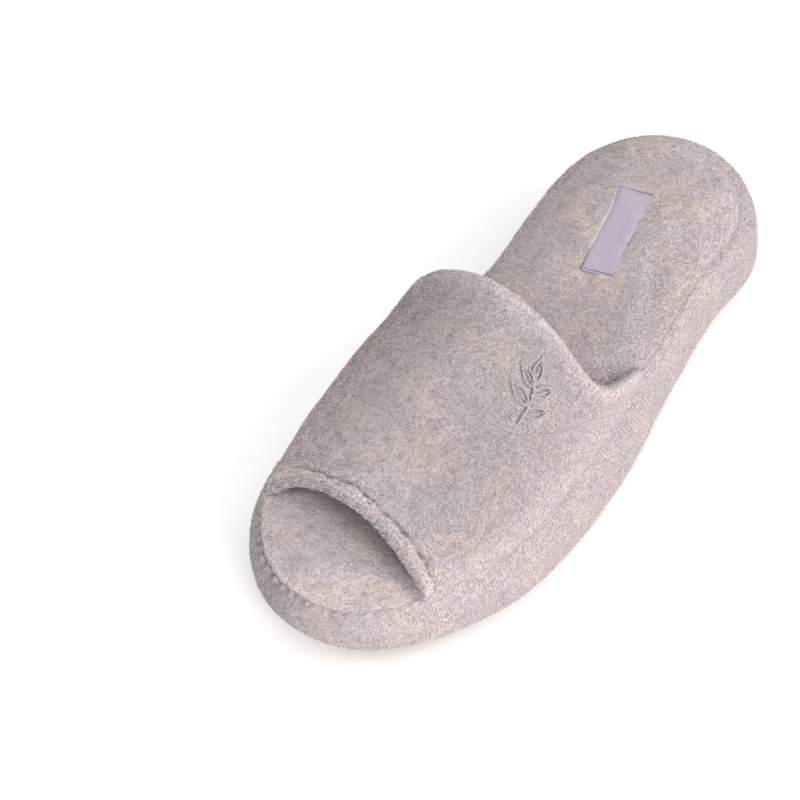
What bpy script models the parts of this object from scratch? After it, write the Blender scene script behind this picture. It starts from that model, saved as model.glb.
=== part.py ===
"""Left scuff slipper: open toe, open back, plush terry over a padded vamp and a wedge platform.

Metres, +Z up. The toe points to -Y and the outer side of the foot is +X. The origin is on the
floor, under the middle of the slipper.
"""

import math
from typing import NamedTuple

import bmesh
import bpy
import numpy as np

# Driving sizes of the slipper
LENGTH = 0.255
BALL_WIDTH = 0.106
HEEL_WIDTH = 0.081
TOE_RADIUS = 0.042
HEEL_RADIUS = 0.040
TOE_SPRING = 0.0085
HEEL_SPRING = 0.0015
ARCH_RISE = 0.0012

# Outsole
OUTSOLE_THICKNESS = 0.0042
OUTSOLE_INSET = 0.0054
OUTSOLE_BEVEL = 0.0008
GROOVE_DEPTH = 0.0014
GROOVE_WIDTH = 0.0030
GROOVE_PITCH = 0.0092
GROOVE_POINT = 0.0060
TREAD_RIM = 0.0060

# Platform wrapped in terry
BAND_TOE = 0.0176
BAND_HEEL = 0.0240
WEDGE_POWER = 1.2
BAND_SPRING_SHARE = 0.6
SEAM_INSET = 0.0052
SEAM_INSET_HEEL = 0.0070

# Footbed
PAD_CROWN = 0.0100
PAD_ROLL = 0.0240
NOTCH = 0.0036
PAD_CLEAR = 0.0015

# Vamp
TOE_EDGE_HEIGHT = 0.0300
THROAT_HEIGHT = 0.0570
RIDGE_MEDIAL = 0.0028
WALL = 0.0050
WALL_FOOT = 0.0024
PRESSED_SHARE = 0.35
HEM_WIDTH = 0.0038
HEM_STEP = 0.0009
THROAT_ROLL = 0.0010

# Label on the heel of the footbed
LABEL_LENGTH = 0.0415
LABEL_WIDTH = 0.0120
LABEL_THICKNESS = 0.0008
LABEL_FROM_HEEL = 0.0612
LABEL_OUT = 0.0024
LABEL_TURN = 12.5

# Clearance between pieces that are stitched or glued together
GAP = 0.0003

# Fineness of the faceted surfaces
RING_POINTS = 96
PAD_POINTS = 152
ARCH_STEPS = 50
WALL_STEPS = 10
ROLL_STEPS = 5

# Steps for measuring slopes, and how far a cutter stands clear of what it cuts
NUDGE = 0.0005
NUDGE_ANGLE = 0.03
CLEAR_OF = 0.004


class Station(NamedTuple):
    """Half-widths of the outline at a share of the length, as shares of the width named beside it."""

    along: float
    width: float
    lateral: float
    medial: float


OUTLINE = (
    Station(along=0.10, width=BALL_WIDTH, lateral=0.366, medial=0.386),
    Station(along=0.22, width=BALL_WIDTH, lateral=0.492, medial=0.476),
    Station(along=0.36, width=BALL_WIDTH, lateral=0.524, medial=0.476),
    Station(along=0.50, width=BALL_WIDTH, lateral=0.498, medial=0.412),
    Station(along=0.64, width=HEEL_WIDTH, lateral=0.566, medial=0.450),
    Station(along=0.78, width=HEEL_WIDTH, lateral=0.501, medial=0.478),
    Station(along=0.90, width=HEEL_WIDTH, lateral=0.474, medial=0.448),
)


class Step(NamedTuple):
    """One line round a piece: how high, as a share of its height, and how far in from its edge."""

    height: float
    inward: float


# Side of the platform, inward as a share of the seam's inset
BAND_PROFILE = (
    Step(height=0.00, inward=0.55),
    Step(height=0.07, inward=0.20),
    Step(height=0.24, inward=0.02),
    Step(height=0.48, inward=0.00),
    Step(height=0.74, inward=0.08),
    Step(height=0.90, inward=0.34),
    Step(height=0.98, inward=0.70),
    Step(height=1.00, inward=1.00),
)

# Rounded edge of the footbed, inward as a share of the roll's width
PAD_PROFILE = (
    Step(height=0.00, inward=0.00),
    Step(height=0.22, inward=0.01),
    Step(height=0.44, inward=0.07),
    Step(height=0.64, inward=0.19),
    Step(height=0.82, inward=0.40),
    Step(height=0.94, inward=0.68),
    Step(height=1.00, inward=1.00),
)


class Edge(NamedTuple):
    """Where the vamp ends, as shares of the length, at its ridge and at its two feet.

    The greater the power, the lower down the flanks the edge turns towards its feet.
    """

    ridge: float
    lateral: float
    medial: float
    power: int


class Flank(NamedTuple):
    """Flatness of one side of the arch at the vamp's two ends: 1 is an ellipse, more is flatter."""

    toe: float
    throat: float


LATERAL_FLANK = Flank(toe=1.12, throat=1.09)
MEDIAL_FLANK = Flank(toe=1.14, throat=0.96)
TOE_EDGE = Edge(ridge=0.128, lateral=0.106, medial=0.134, power=2)
THROAT_EDGE = Edge(ridge=0.477, lateral=0.594, medial=0.566, power=27)

# Shares of the length: where the sole leaves the floor, where the rim seam starts to move in
# behind the heel, where the underside arches up, and where the tread lies
TOE_SPRING_SHARE = 0.33
HEEL_SPRING_SHARE = 0.87
HEEL_ROUND_SHARE = 0.76
ARCH_SPAN = (0.49, 0.69)
FOREFOOT_TREAD = (0.07, 0.46)
HEEL_TREAD = (0.71, 0.93)


def curve_through(places, values):
    """A smooth curve through the given values, level at both ends."""
    places = np.asarray(places, float)
    values = np.asarray(values, float)
    slopes = np.zeros(len(places))
    slopes[1:-1] = (values[2:] - values[:-2]) / (places[2:] - places[:-2])

    def at(place):
        place = np.clip(place, places[0], places[-1])
        left = np.clip(np.searchsorted(places, place, side="right") - 1, 0, len(places) - 2)
        span = places[left + 1] - places[left]
        u = (place - places[left]) / span
        start = (1 + 2 * u) * (1 - u) ** 2 * values[left] + u * (1 - u) ** 2 * span * slopes[left]
        end = u * u * (3 - 2 * u) * values[left + 1] + u * u * (u - 1) * span * slopes[left + 1]
        return start + end

    return at


def ease(value, start, end):
    """0 at start, 1 at end, and smooth between them."""
    u = np.clip((value - start) / (end - start), 0.0, 1.0)
    return u * u * (3 - 2 * u)


def fullness(side):
    """The outline's fullness round the slipper on one side, from the toe's tip to the heel's."""
    angles = [0.0]
    values = [math.sqrt(TOE_RADIUS * LENGTH / 2)]
    for row in OUTLINE:
        half = row.width * (row.lateral if side > 0 else row.medial)
        angles.append(math.acos(1 - 2 * row.along))
        values.append(half / (2 * math.sqrt(row.along * (1 - row.along))))
    angles.append(math.pi)
    values.append(math.sqrt(HEEL_RADIUS * LENGTH / 2))
    return curve_through(angles, values)


FULLNESS = {1: fullness(1), -1: fullness(-1)}


def outline(inset=0.0, count=RING_POINTS):
    """Points round the slipper in plan, from the toe along the outer side, set in from the edge."""
    turn = np.linspace(0, 2 * math.pi, count, endpoint=False)
    along = (1 - np.cos(turn)) / 2
    angle = np.arccos(np.cos(turn))
    full = np.where(np.sin(turn) >= 0, FULLNESS[1](angle), FULLNESS[-1](angle))
    x = np.sin(turn) * full
    y = LENGTH * (along - 0.5)
    points = np.column_stack([x, y])
    ahead = np.roll(points, -1, axis=0) - np.roll(points, 1, axis=0)
    inward = np.column_stack([-ahead[:, 1], ahead[:, 0]])
    inward /= np.linalg.norm(inward, axis=1)[:, None]
    return points + np.reshape(inset, (-1, 1)) * inward


def share_of_length(y):
    return np.asarray(y) / LENGTH + 0.5


def seam_inset(count=RING_POINTS):
    """How far the rim seam lies inside the outline, all round: further in behind the heel."""
    along = share_of_length(outline(0.0, count)[:, 1])
    return SEAM_INSET + (SEAM_INSET_HEEL - SEAM_INSET) * ease(along, HEEL_ROUND_SHARE, 1.0)


def spring(y):
    """Height of the sole's underside above the floor where the toe and the heel curl up."""
    along = share_of_length(y)
    toe = TOE_SPRING * np.clip((TOE_SPRING_SHARE - along) / TOE_SPRING_SHARE, 0, 1) ** 2
    heel = HEEL_SPRING * np.clip((along - HEEL_SPRING_SHARE) / (1 - HEEL_SPRING_SHARE), 0, 1) ** 2
    return toe + heel


def underside(y):
    """Height of the sole's underside: the spring, and a shallow arch under the waist."""
    start, end = ARCH_SPAN
    waist = np.clip((share_of_length(y) - start) / (end - start), 0, 1)
    return spring(y) + ARCH_RISE * np.sin(math.pi * waist) ** 2


def platform_foot(y):
    """Underside of the wrapped platform, which lies on the outsole."""
    return underside(y) + OUTSOLE_THICKNESS + GAP


def seam_height(y):
    """Height of the rim seam, where platform, footbed and vamp meet."""
    along = np.clip(share_of_length(y), 0, 1)
    band = BAND_TOE + (BAND_HEEL - BAND_TOE) * along**WEDGE_POWER
    return OUTSOLE_THICKNESS + GAP + band + BAND_SPRING_SHARE * spring(y)


def seam_x(y, side, inset=SEAM_INSET):
    """Distance of the rim seam from the middle line at each y, on one side."""
    ring = outline(inset, 4 * RING_POINTS)
    ring = ring[ring[:, 0] * side > 0]
    ring = ring[np.argsort(ring[:, 1])]
    return np.interp(y, ring[:, 1], ring[:, 0])


CENTRE_X = (outline()[:, 0].max() + outline()[:, 0].min()) / 2


def material(name, colour, roughness):
    """A plain surface with the piece's own colour and roughness."""
    made = bpy.data.materials.new(name)
    made.use_nodes = True
    shader = made.node_tree.nodes["Principled BSDF"]
    shader.inputs["Base Color"].default_value = (*colour, 1.0)
    shader.inputs["Roughness"].default_value = roughness
    shader.inputs["Metallic"].default_value = 0.0
    return made


def add_object(name, verts, faces, surface, collection):
    """A smooth-shaded object from points and faces, moved so that the origin is under its middle."""
    mesh = bpy.data.meshes.new(name)
    mesh.from_pydata([(x - CENTRE_X, y, z) for x, y, z in verts], [], faces)
    built = bmesh.new()
    built.from_mesh(mesh)
    bmesh.ops.recalc_face_normals(built, faces=built.faces)
    built.to_mesh(mesh)
    built.free()
    mesh.shade_smooth()
    mesh.set_sharp_from_angle(angle=math.radians(40))
    made = bpy.data.objects.new(name, mesh)
    if surface is not None:
        made.data.materials.append(surface)
    collection.objects.link(made)
    return made


def ladder(first, count):
    """Faces across a ring of points: rungs from the outer side to the inner side."""
    half = count // 2
    faces = [(first, first + 1, first + count - 1)]
    for step in range(1, half - 1):
        faces.append((first + step, first + step + 1, first + count - step - 1, first + count - step))
    faces.append((first + half - 1, first + half, first + half + 1))
    return faces


def stack(rings):
    """A closed solid from rings of points, lowest first: walls between them, ladders at both ends."""
    count = len(rings[0])
    verts = [tuple(point) for ring in rings for point in ring]
    faces = ladder(0, count) + ladder((len(rings) - 1) * count, count)
    for level in range(len(rings) - 1):
        low = level * count
        for step in range(count):
            after = (step + 1) % count
            faces.append((low + step, low + after, low + count + after, low + count + step))
    return verts, faces


def ring_at(inset, height):
    """The outline set in by a distance, at a height that is a function of y."""
    plan = outline(inset)
    return np.column_stack([plan, height(plan[:, 1])])


def groove_lines():
    """The y of each groove's middle, in the forefoot's tread and in the heel's."""
    lines = []
    for start, end in (FOREFOOT_TREAD, HEEL_TREAD):
        count = int((end - start) * LENGTH / GROOVE_PITCH)
        first = LENGTH * ((start + end) / 2 - 0.5) - GROOVE_PITCH * (count - 1) / 2
        lines += [first + GROOVE_PITCH * step for step in range(count)]
    return lines


def groove_cutter(collection):
    """Arrow-shaped bars that cut the grooves between the lugs."""
    verts = []
    faces = []
    inset = OUTSOLE_INSET + TREAD_RIM
    for line in groove_lines():
        right = float(seam_x(line, 1, inset))
        left = float(seam_x(line, -1, inset))
        middle = (right + left) / 2
        half = GROOVE_WIDTH / 2
        lean = GROOVE_POINT / 2
        plan = [
            (left, line + lean - half),
            (middle, line - lean - half),
            (right, line + lean - half),
            (right, line + lean + half),
            (middle, line - lean + half),
            (left, line + lean + half),
        ]
        first = len(verts)
        roof = float(underside(line)) + GROOVE_DEPTH
        verts += [(x, y, -CLEAR_OF) for x, y in plan] + [(x, y, roof) for x, y in plan]
        for low, high in ((0, 1), (1, 2), (2, 3), (3, 4), (4, 5), (5, 0)):
            faces.append((first + low, first + high, first + 6 + high, first + 6 + low))
        for base in (first, first + 6):
            faces += [(base, base + 1, base + 4, base + 5), (base + 1, base + 2, base + 3, base + 4)]
    cutter = add_object("tread_grooves", verts, faces, None, collection)
    cutter.hide_render = True
    cutter.display_type = "WIRE"
    return cutter


def make_outsole(collection, cutters):
    """The rubber sole: a sheet that curls up at the toe, with lugs between arrow-shaped grooves."""
    rings = (
        ring_at(OUTSOLE_INSET + OUTSOLE_BEVEL, underside),
        ring_at(OUTSOLE_INSET, lambda y: underside(y) + OUTSOLE_BEVEL),
        ring_at(OUTSOLE_INSET, lambda y: underside(y) + OUTSOLE_THICKNESS),
    )
    rubber = material("tan_rubber", (0.49, 0.30, 0.22), 0.75)
    outsole = add_object("outsole", *stack(rings), rubber, collection)
    cut = outsole.modifiers.new("grooves", "BOOLEAN")
    cut.operation = "DIFFERENCE"
    cut.object = groove_cutter(cutters)
    return outsole


def make_platform(terry, collection):
    """The wedge under the footbed, wrapped in terry, with a full side that rolls in to the seam."""
    rings = []
    for step in BAND_PROFILE:

        def height(y, share=step.height):
            foot = platform_foot(y)
            return foot + share * (seam_height(y) - foot)

        rings.append(ring_at(seam_inset() * step.inward, height))
    return add_object("wrapped_platform", *stack(rings), terry, collection)


def pad_edge():
    """How far in the footbed's edge lies: at the seam, or inside the vamp's wall where that stands."""
    plan = outline(SEAM_INSET, PAD_POINTS)
    along = share_of_length(plan[:, 1])
    lateral = plan[:, 0] > 0
    toe = np.where(lateral, TOE_EDGE.lateral, TOE_EDGE.medial)
    throat = np.where(lateral, THROAT_EDGE.lateral, THROAT_EDGE.medial)
    near = NOTCH / LENGTH
    inside = ease(along, toe - 2 * near, toe - near) * (1 - ease(along, throat + near, throat + 2 * near))
    return seam_inset(PAD_POINTS) + inside * (WALL_FOOT + PAD_CLEAR)


def pad_height(y, share):
    return seam_height(y) + GAP + share * PAD_CROWN


def make_insole(terry, collection):
    """The padded footbed: a low pillow with a rounded edge, sewn down along the rim seam."""
    edge = pad_edge()
    rings = []
    for step in PAD_PROFILE:
        plan = outline(edge + PAD_ROLL * step.inward, PAD_POINTS)
        rings.append(np.column_stack([plan, pad_height(plan[:, 1], step.height)]))
    return add_object("insole", *stack(rings), terry, collection)


def edge_at(edge, arch):
    """An edge of the vamp at an angle of its arch, 0 at the outer foot and pi at the inner."""
    across = np.cos(arch)
    outer = np.clip(across, 0, 1) ** edge.power
    inner = np.clip(-across, 0, 1) ** edge.power
    share = edge.ridge + (edge.lateral - edge.ridge) * outer + (edge.medial - edge.ridge) * inner
    return LENGTH * (share - 0.5)


def vamp_at(y, arch):
    """A point of the vamp's outside: an arch over the foot that rises from the toe to the throat."""
    lowest = edge_at(TOE_EDGE, math.pi / 2)
    highest = edge_at(THROAT_EDGE, math.pi / 2)
    along = (y - lowest) / (highest - lowest)
    rise = TOE_EDGE_HEIGHT + (THROAT_HEIGHT - TOE_EDGE_HEIGHT) * along
    inset = SEAM_INSET + GAP
    right = seam_x(y, 1, inset)
    left = seam_x(y, -1, inset)
    flank = LATERAL_FLANK if np.cos(arch) > 0 else MEDIAL_FLANK
    flatness = flank.toe + (flank.throat - flank.toe) * along
    across = np.sign(np.cos(arch)) * abs(np.cos(arch)) ** flatness
    up = np.clip(np.sin(arch), 0, 1) ** flatness
    x = (right + left) / 2 + (right - left) / 2 * across - RIDGE_MEDIAL * up**2
    return np.stack([x, y, seam_height(y) + GAP + rise * up], axis=-1)


def unit(vectors):
    return vectors / np.linalg.norm(vectors, axis=-1, keepdims=True)


def vamp_frames(y, arch):
    """Points of the vamp's outside, with the directions outwards and towards the heel."""
    low = max(arch - NUDGE_ANGLE, 0.0)
    high = min(arch + NUDGE_ANGLE, math.pi)
    heelward = unit(vamp_at(y + NUDGE, arch) - vamp_at(y - NUDGE, arch))
    upward = vamp_at(y, high) - vamp_at(y, low)
    return vamp_at(y, arch), unit(np.cross(heelward, upward)), heelward


def freedom(arch):
    """0 where the vamp is stitched down at its feet, 1 where it stands free over the foot."""
    return float(ease(math.sin(arch), 0.0, PRESSED_SHARE))


def wall_at(arch):
    """Thickness of the vamp's wall: full over the foot, pressed thinner where it is stitched down."""
    return WALL_FOOT + (WALL - WALL_FOOT) * freedom(arch)


def vamp_section(arch):
    """The wall's outline at one angle of the arch: outside, rolled throat, inside, turned toe hem."""
    wall = wall_at(arch)
    toe = float(edge_at(TOE_EDGE, arch)) + wall / 2
    throat = float(edge_at(THROAT_EDGE, arch)) - wall / 2
    hem = toe + HEM_WIDTH
    rows = [toe, (toe + hem) / 2, hem - HEM_STEP, hem]
    raised = [HEM_STEP] * 3 + [0.0]
    rows = np.concatenate([rows, np.linspace(hem, throat, WALL_STEPS + 1)[1:]])
    raised = np.concatenate([raised, THROAT_ROLL * ease(rows[4:], throat - 3 * WALL, throat)])
    point, out, back = vamp_frames(rows, arch)
    raised *= freedom(arch)
    outside = point + out * raised[:, None]
    inside = point - out * wall
    turn = np.linspace(0, math.pi, ROLL_STEPS + 2)[1:-1]
    loop = [*outside]
    for end, sign in ((-1, 1.0), (0, -1.0)):
        middle = (outside[end] + inside[end]) / 2
        reach = np.linalg.norm(outside[end] - inside[end]) / 2
        lift = np.cos(turn) if sign > 0 else -np.cos(turn)
        for up, over in zip(lift, np.sin(turn)):
            loop.append(middle + reach * (up * out[end] + sign * over * back[end]))
        if sign > 0:
            loop += [*inside[::-1]]
    return np.array(loop), len(rows)


def make_upper(terry, collection):
    """The hollow vamp: one padded wall, open at the toe, at the throat and underneath."""
    verts = []
    faces = []
    for step in range(ARCH_STEPS + 1):
        arch = math.pi * step / ARCH_STEPS
        loop, rows = vamp_section(arch)
        if step in (0, ARCH_STEPS):
            loop[:, 2] = seam_height(loop[:, 1]) + GAP
        verts += [tuple(point) for point in loop]
    count = len(verts) // (ARCH_STEPS + 1)
    for step in range(ARCH_STEPS):
        low = step * count
        for place in range(count):
            after = (place + 1) % count
            faces.append((low + place, low + after, low + count + after, low + count + place))
    for first in (0, ARCH_STEPS * count):
        faces += foot_faces(first, rows, count)
    return add_object("upper", verts, faces, terry, collection)


def foot_faces(first, rows, count):
    """Rungs across the wall's underside, with a fan at each rolled end."""
    faces = []
    for place in range(rows - 1):
        inner = 2 * rows + ROLL_STEPS - 1 - place
        faces.append((first + place, first + place + 1, first + inner - 1, first + inner))
    faces.append(tuple(first + place for place in range(rows - 1, rows + ROLL_STEPS + 1)))
    faces.append(tuple(first + place % count for place in range(2 * rows + ROLL_STEPS - 1, count + 1)))
    return faces


def make_label(surface, collection):
    """A blank woven label that lies along the heel of the footbed."""
    steps = 8
    turn = math.radians(LABEL_TURN)
    verts = []
    faces = []
    for place in range(steps + 1):
        along = LABEL_LENGTH * (place / steps - 0.5)
        for across in (LABEL_WIDTH / 2, -LABEL_WIDTH / 2):
            x = LABEL_OUT + across * math.cos(turn) - along * math.sin(turn)
            y = LENGTH / 2 - LABEL_FROM_HEEL + across * math.sin(turn) + along * math.cos(turn)
            low = float(pad_height(y, 1.0)) + GAP
            verts += [(x, y, low), (x, y, low + LABEL_THICKNESS)]
    for place in range(steps):
        low = 4 * place
        for one, other in ((0, 1), (1, 3), (3, 2), (2, 0)):
            faces.append((low + one, low + other, low + 4 + other, low + 4 + one))
    faces += [(0, 1, 3, 2), (4 * steps, 4 * steps + 1, 4 * steps + 3, 4 * steps + 2)]
    return add_object("heel_label", verts, faces, surface, collection)


def main():
    for old in list(bpy.data.objects):
        bpy.data.objects.remove(old, do_unlink=True)
    slipper = bpy.data.collections.new("scuff_slipper")
    cutters = bpy.data.collections.new("cutters")
    for collection in (slipper, cutters):
        bpy.context.scene.collection.children.link(collection)
    terry = material("heather_terry", (0.47, 0.40, 0.38), 0.95)
    woven = material("lilac_satin_weave", (0.56, 0.50, 0.64), 0.55)
    make_outsole(slipper, cutters)
    make_platform(terry, slipper)
    make_insole(terry, slipper)
    make_upper(terry, slipper)
    make_label(woven, slipper)


main()
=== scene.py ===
"""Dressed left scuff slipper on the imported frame.

Terry covers a padded vamp, a wedge platform and a pillow footbed. A blank woven label lies on the
heel and a stitched leaf sprig on the outer side of the vamp. Metres, +Z up, toe to -Y and the outer
side of the foot to +X, as in the frame.
"""

import logging
import math
from collections.abc import Callable, Mapping, Sequence
from dataclasses import dataclass, field, fields
from enum import Enum
from functools import cached_property
from typing import Any, NamedTuple

import bmesh
import bpy
import numpy as np
from mathutils import Matrix, Vector, noise


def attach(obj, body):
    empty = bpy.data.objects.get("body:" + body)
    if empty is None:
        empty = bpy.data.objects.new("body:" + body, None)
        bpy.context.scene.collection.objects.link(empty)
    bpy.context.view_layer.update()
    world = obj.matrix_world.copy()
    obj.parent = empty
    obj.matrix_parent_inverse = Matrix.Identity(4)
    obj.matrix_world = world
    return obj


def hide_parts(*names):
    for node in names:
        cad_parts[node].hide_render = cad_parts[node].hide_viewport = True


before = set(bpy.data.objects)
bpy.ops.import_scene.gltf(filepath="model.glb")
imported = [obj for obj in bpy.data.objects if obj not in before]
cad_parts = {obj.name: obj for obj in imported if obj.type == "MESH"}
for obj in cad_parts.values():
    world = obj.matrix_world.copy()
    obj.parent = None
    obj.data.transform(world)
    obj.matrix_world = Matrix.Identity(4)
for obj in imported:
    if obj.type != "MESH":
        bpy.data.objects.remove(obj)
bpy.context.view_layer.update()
LOG = logging.getLogger("slipper")
Array = np.ndarray
Socket = bpy.types.NodeSocket


class Side(Enum):
    """A side of the foot; its value is the sign of x there."""

    LATERAL = 1
    MEDIAL = -1


class Girth(Enum):
    """Which width of the last a station is measured against."""

    BALL = "ball"
    HEEL = "heel"


class Station(NamedTuple):
    """Half-widths of the outline at a share of the length, as shares of the girth's width."""

    along: float
    girth: Girth
    lateral: float
    medial: float


class Step(NamedTuple):
    """One line round a piece: how high, as a share of its height, and how far in, as a share."""

    height: float
    inward: float


def smooth_curve(places: Sequence[float], values: Sequence[float]) -> Callable[[Any], Array]:
    """A smooth curve through the given values, level at both ends.

    Args:
        places: Rising positions of the values.
        values: The values there.

    Returns:
        A function that reads the curve at any positions.
    """
    at = np.asarray(places, float)
    high = np.asarray(values, float)
    slopes = np.zeros(len(at))
    slopes[1:-1] = (high[2:] - high[:-2]) / (at[2:] - at[:-2])

    def read(place: Any) -> Array:
        """The curve at these positions.

        Args:
            place: Any positions; beyond the ends the curve stays level.

        Returns:
            The values there.
        """
        x = np.clip(place, at[0], at[-1])
        left = np.clip(np.searchsorted(at, x, side="right") - 1, 0, len(at) - 2)
        span = at[left + 1] - at[left]
        u = (x - at[left]) / span
        start = (1 + 2 * u) * (1 - u) ** 2 * high[left] + u * (1 - u) ** 2 * span * slopes[left]
        end = u * u * (3 - 2 * u) * high[left + 1] + u * u * (u - 1) * span * slopes[left + 1]
        return start + end

    return read


def ease(value: Any, start: Any, end: Any) -> Array:
    """0 at start, 1 at end, and smooth between them.

    Args:
        value: Where to read it.
        start: Where it leaves 0.
        end: Where it reaches 1.

    Returns:
        The eased values.
    """
    u = np.clip((np.asarray(value) - start) / (end - start), 0.0, 1.0)
    return u * u * (3 - 2 * u)


def bell(value: Any, middle: float, width: float) -> Array:
    """A soft bump of height 1 round middle, about two widths across."""
    return np.exp(-(((np.asarray(value) - middle) / width) ** 2))


def broken(place: Any, pitch: float) -> Array:
    """A line that comes and goes: 1 where it is plain, 0.2 where it is nearly lost."""
    turn = 2 * math.pi * np.asarray(place) / pitch
    return 0.6 + 0.4 * np.sin(turn + 2.0 * np.sin(turn / 3.1))


def unit(vectors: Array) -> Array:
    """The vectors at length 1."""
    return vectors / np.linalg.norm(vectors, axis=-1, keepdims=True)


EVERYWHERE = (-9.0, -8.0)  # far below any place, so a zone with this pair has no bound there


class Zone(NamedTuple):
    """A soft-edged part of the slipper in plan, and how much is added inside it.

    A rising pair says where the zone fades in, and a falling pair where it fades out.
    """

    along: tuple[float, float]
    right: tuple[float, float] = EVERYWHERE
    amount: float = 0.0

    def mask(self, along: Array, right: Array) -> Array:
        """1 inside the zone and 0 outside it, at places in the units of its pairs."""
        return ease(along, *self.along) * ease(right, *self.right)


def added(zones: Sequence[Zone], along: Array, right: Array) -> Array:
    """What all the zones add at these places."""
    return sum(zone.amount * zone.mask(along, right) for zone in zones)


def profile_curves(profile: Sequence[Step]) -> list[Callable[[Any], Array]]:
    """Smooth curves of a profile's heights and of its insets, each read from 0 to 1."""
    place = np.linspace(0, 1, len(profile))
    return [smooth_curve(place, values) for values in zip(*profile)]


@dataclass(frozen=True)
class Last:
    """The slipper's outline, springs and seam heights, as the frame's solids have them."""

    length: float = 0.255
    ball_width: float = 0.106
    heel_width: float = 0.081
    toe_radius: float = 0.042
    heel_radius: float = 0.040
    toe_spring: float = 0.0085
    toe_spring_share: float = 0.33
    heel_spring: float = 0.0015
    heel_spring_share: float = 0.87
    arch_rise: float = 0.0012
    arch_span: tuple[float, float] = (0.49, 0.69)
    outsole_thickness: float = 0.0042
    band_toe: float = 0.0176
    band_heel: float = 0.0240
    wedge_power: float = 1.2
    band_spring_share: float = 0.6
    seam_inset: float = 0.0052
    seam_inset_heel: float = 0.0070
    heel_round_share: float = 0.76
    gap: float = 0.0003
    stations: tuple[Station, ...] = (
        Station(along=0.10, girth=Girth.BALL, lateral=0.366, medial=0.386),
        Station(along=0.22, girth=Girth.BALL, lateral=0.492, medial=0.476),
        Station(along=0.36, girth=Girth.BALL, lateral=0.524, medial=0.476),
        Station(along=0.50, girth=Girth.BALL, lateral=0.498, medial=0.412),
        Station(along=0.64, girth=Girth.HEEL, lateral=0.566, medial=0.450),
        Station(along=0.78, girth=Girth.HEEL, lateral=0.501, medial=0.478),
        Station(along=0.90, girth=Girth.HEEL, lateral=0.474, medial=0.448),
    )

    def width(self, girth: Girth) -> float:
        """The last's width at this girth."""
        return self.ball_width if girth is Girth.BALL else self.heel_width

    def fullness(self, side: Side) -> Callable[[Any], Array]:
        """How full one side of the outline is, from the toe's tip to the heel's.

        Args:
            side: The side of the foot.

        Returns:
            A function of the angle round the outline, 0 at the toe and pi at the heel.
        """
        angles = [0.0]
        values = [math.sqrt(self.toe_radius * self.length / 2)]
        for row in self.stations:
            share = row.lateral if side is Side.LATERAL else row.medial
            angles.append(math.acos(1 - 2 * row.along))
            values.append(self.width(row.girth) * share / (2 * math.sqrt(row.along * (1 - row.along))))
        angles.append(math.pi)
        values.append(math.sqrt(self.heel_radius * self.length / 2))
        return smooth_curve(angles, values)

    def plan(self, inset: Any, count: int) -> Array:
        """Points round the slipper in plan, from the toe along the outer side.

        Args:
            inset: How far inside the outline they lie, one value or one for each point.
            count: How many points.

        Returns:
            Their x and y in the frame.
        """
        points = self.raw_plan(count)
        ahead = np.roll(points, -1, axis=0) - np.roll(points, 1, axis=0)
        inward = unit(np.column_stack([-ahead[:, 1], ahead[:, 0]]))
        return points + np.reshape(inset, (-1, 1)) * inward - [self.centre_x, 0.0]

    def raw_plan(self, count: int) -> Array:
        """The outline itself, before it is centred.

        Args:
            count: How many points.

        Returns:
            Their x and y, from the toe along the outer side.
        """
        turn = np.linspace(0, 2 * math.pi, count, endpoint=False)
        angle = np.arccos(np.cos(turn))
        sides = [self.fullness(side)(angle) for side in (Side.LATERAL, Side.MEDIAL)]
        full = np.where(np.sin(turn) >= 0, *sides)
        return np.column_stack([np.sin(turn) * full, self.length * -np.cos(turn) / 2])

    @cached_property
    def centre_x(self) -> float:
        """Middle of the outline's widest reach, which the frame has at x = 0."""
        across = self.raw_plan(96)[:, 0]
        return float(across.max() + across.min()) / 2

    def share(self, y: Any) -> Array:
        """The share of the length at y, 0 at the toe and 1 at the heel."""
        return np.asarray(y) / self.length + 0.5

    def rim_inset(self, y: Any) -> Array:
        """How far the rim seam lies inside the outline: further in behind the heel."""
        further = self.seam_inset_heel - self.seam_inset
        return self.seam_inset + further * ease(self.share(y), self.heel_round_share, 1.0)

    def spring(self, y: Any) -> Array:
        """How high the sole curls up off the floor at the toe and the heel.

        Args:
            y: Places along the slipper.

        Returns:
            The height at each.
        """
        along = self.share(y)
        toe = np.clip((self.toe_spring_share - along) / self.toe_spring_share, 0, 1)
        heel = np.clip((along - self.heel_spring_share) / (1 - self.heel_spring_share), 0, 1)
        return self.toe_spring * toe**2 + self.heel_spring * heel**2

    def platform_foot(self, y: Any) -> Array:
        """Height of the platform's underside, on the outsole.

        Args:
            y: Places along the slipper.

        Returns:
            The height at each.
        """
        start, end = self.arch_span
        waist = np.clip((self.share(y) - start) / (end - start), 0, 1)
        arch = self.arch_rise * np.sin(math.pi * waist) ** 2
        return self.spring(y) + arch + self.outsole_thickness + self.gap

    def seam_height(self, y: Any) -> Array:
        """Height of the rim seam, where platform, footbed and vamp meet."""
        along = np.clip(self.share(y), 0, 1)
        band = self.band_toe + (self.band_heel - self.band_toe) * along**self.wedge_power
        return self.outsole_thickness + self.gap + band + self.band_spring_share * self.spring(y)

    def seam_x(self, y: Any, side: Side, inset: float) -> Array:
        """Where a line inside the outline runs on one side.

        Args:
            y: Places along the slipper.
            side: The side of the foot.
            inset: How far inside the outline the line lies.

        Returns:
            Its x at each y.
        """
        ring = self.plan(inset, 384)
        ring = ring[(ring[:, 0] + self.centre_x) * side.value > 0]
        ring = ring[np.argsort(ring[:, 1])]
        return np.interp(y, ring[:, 1], ring[:, 0])


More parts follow.
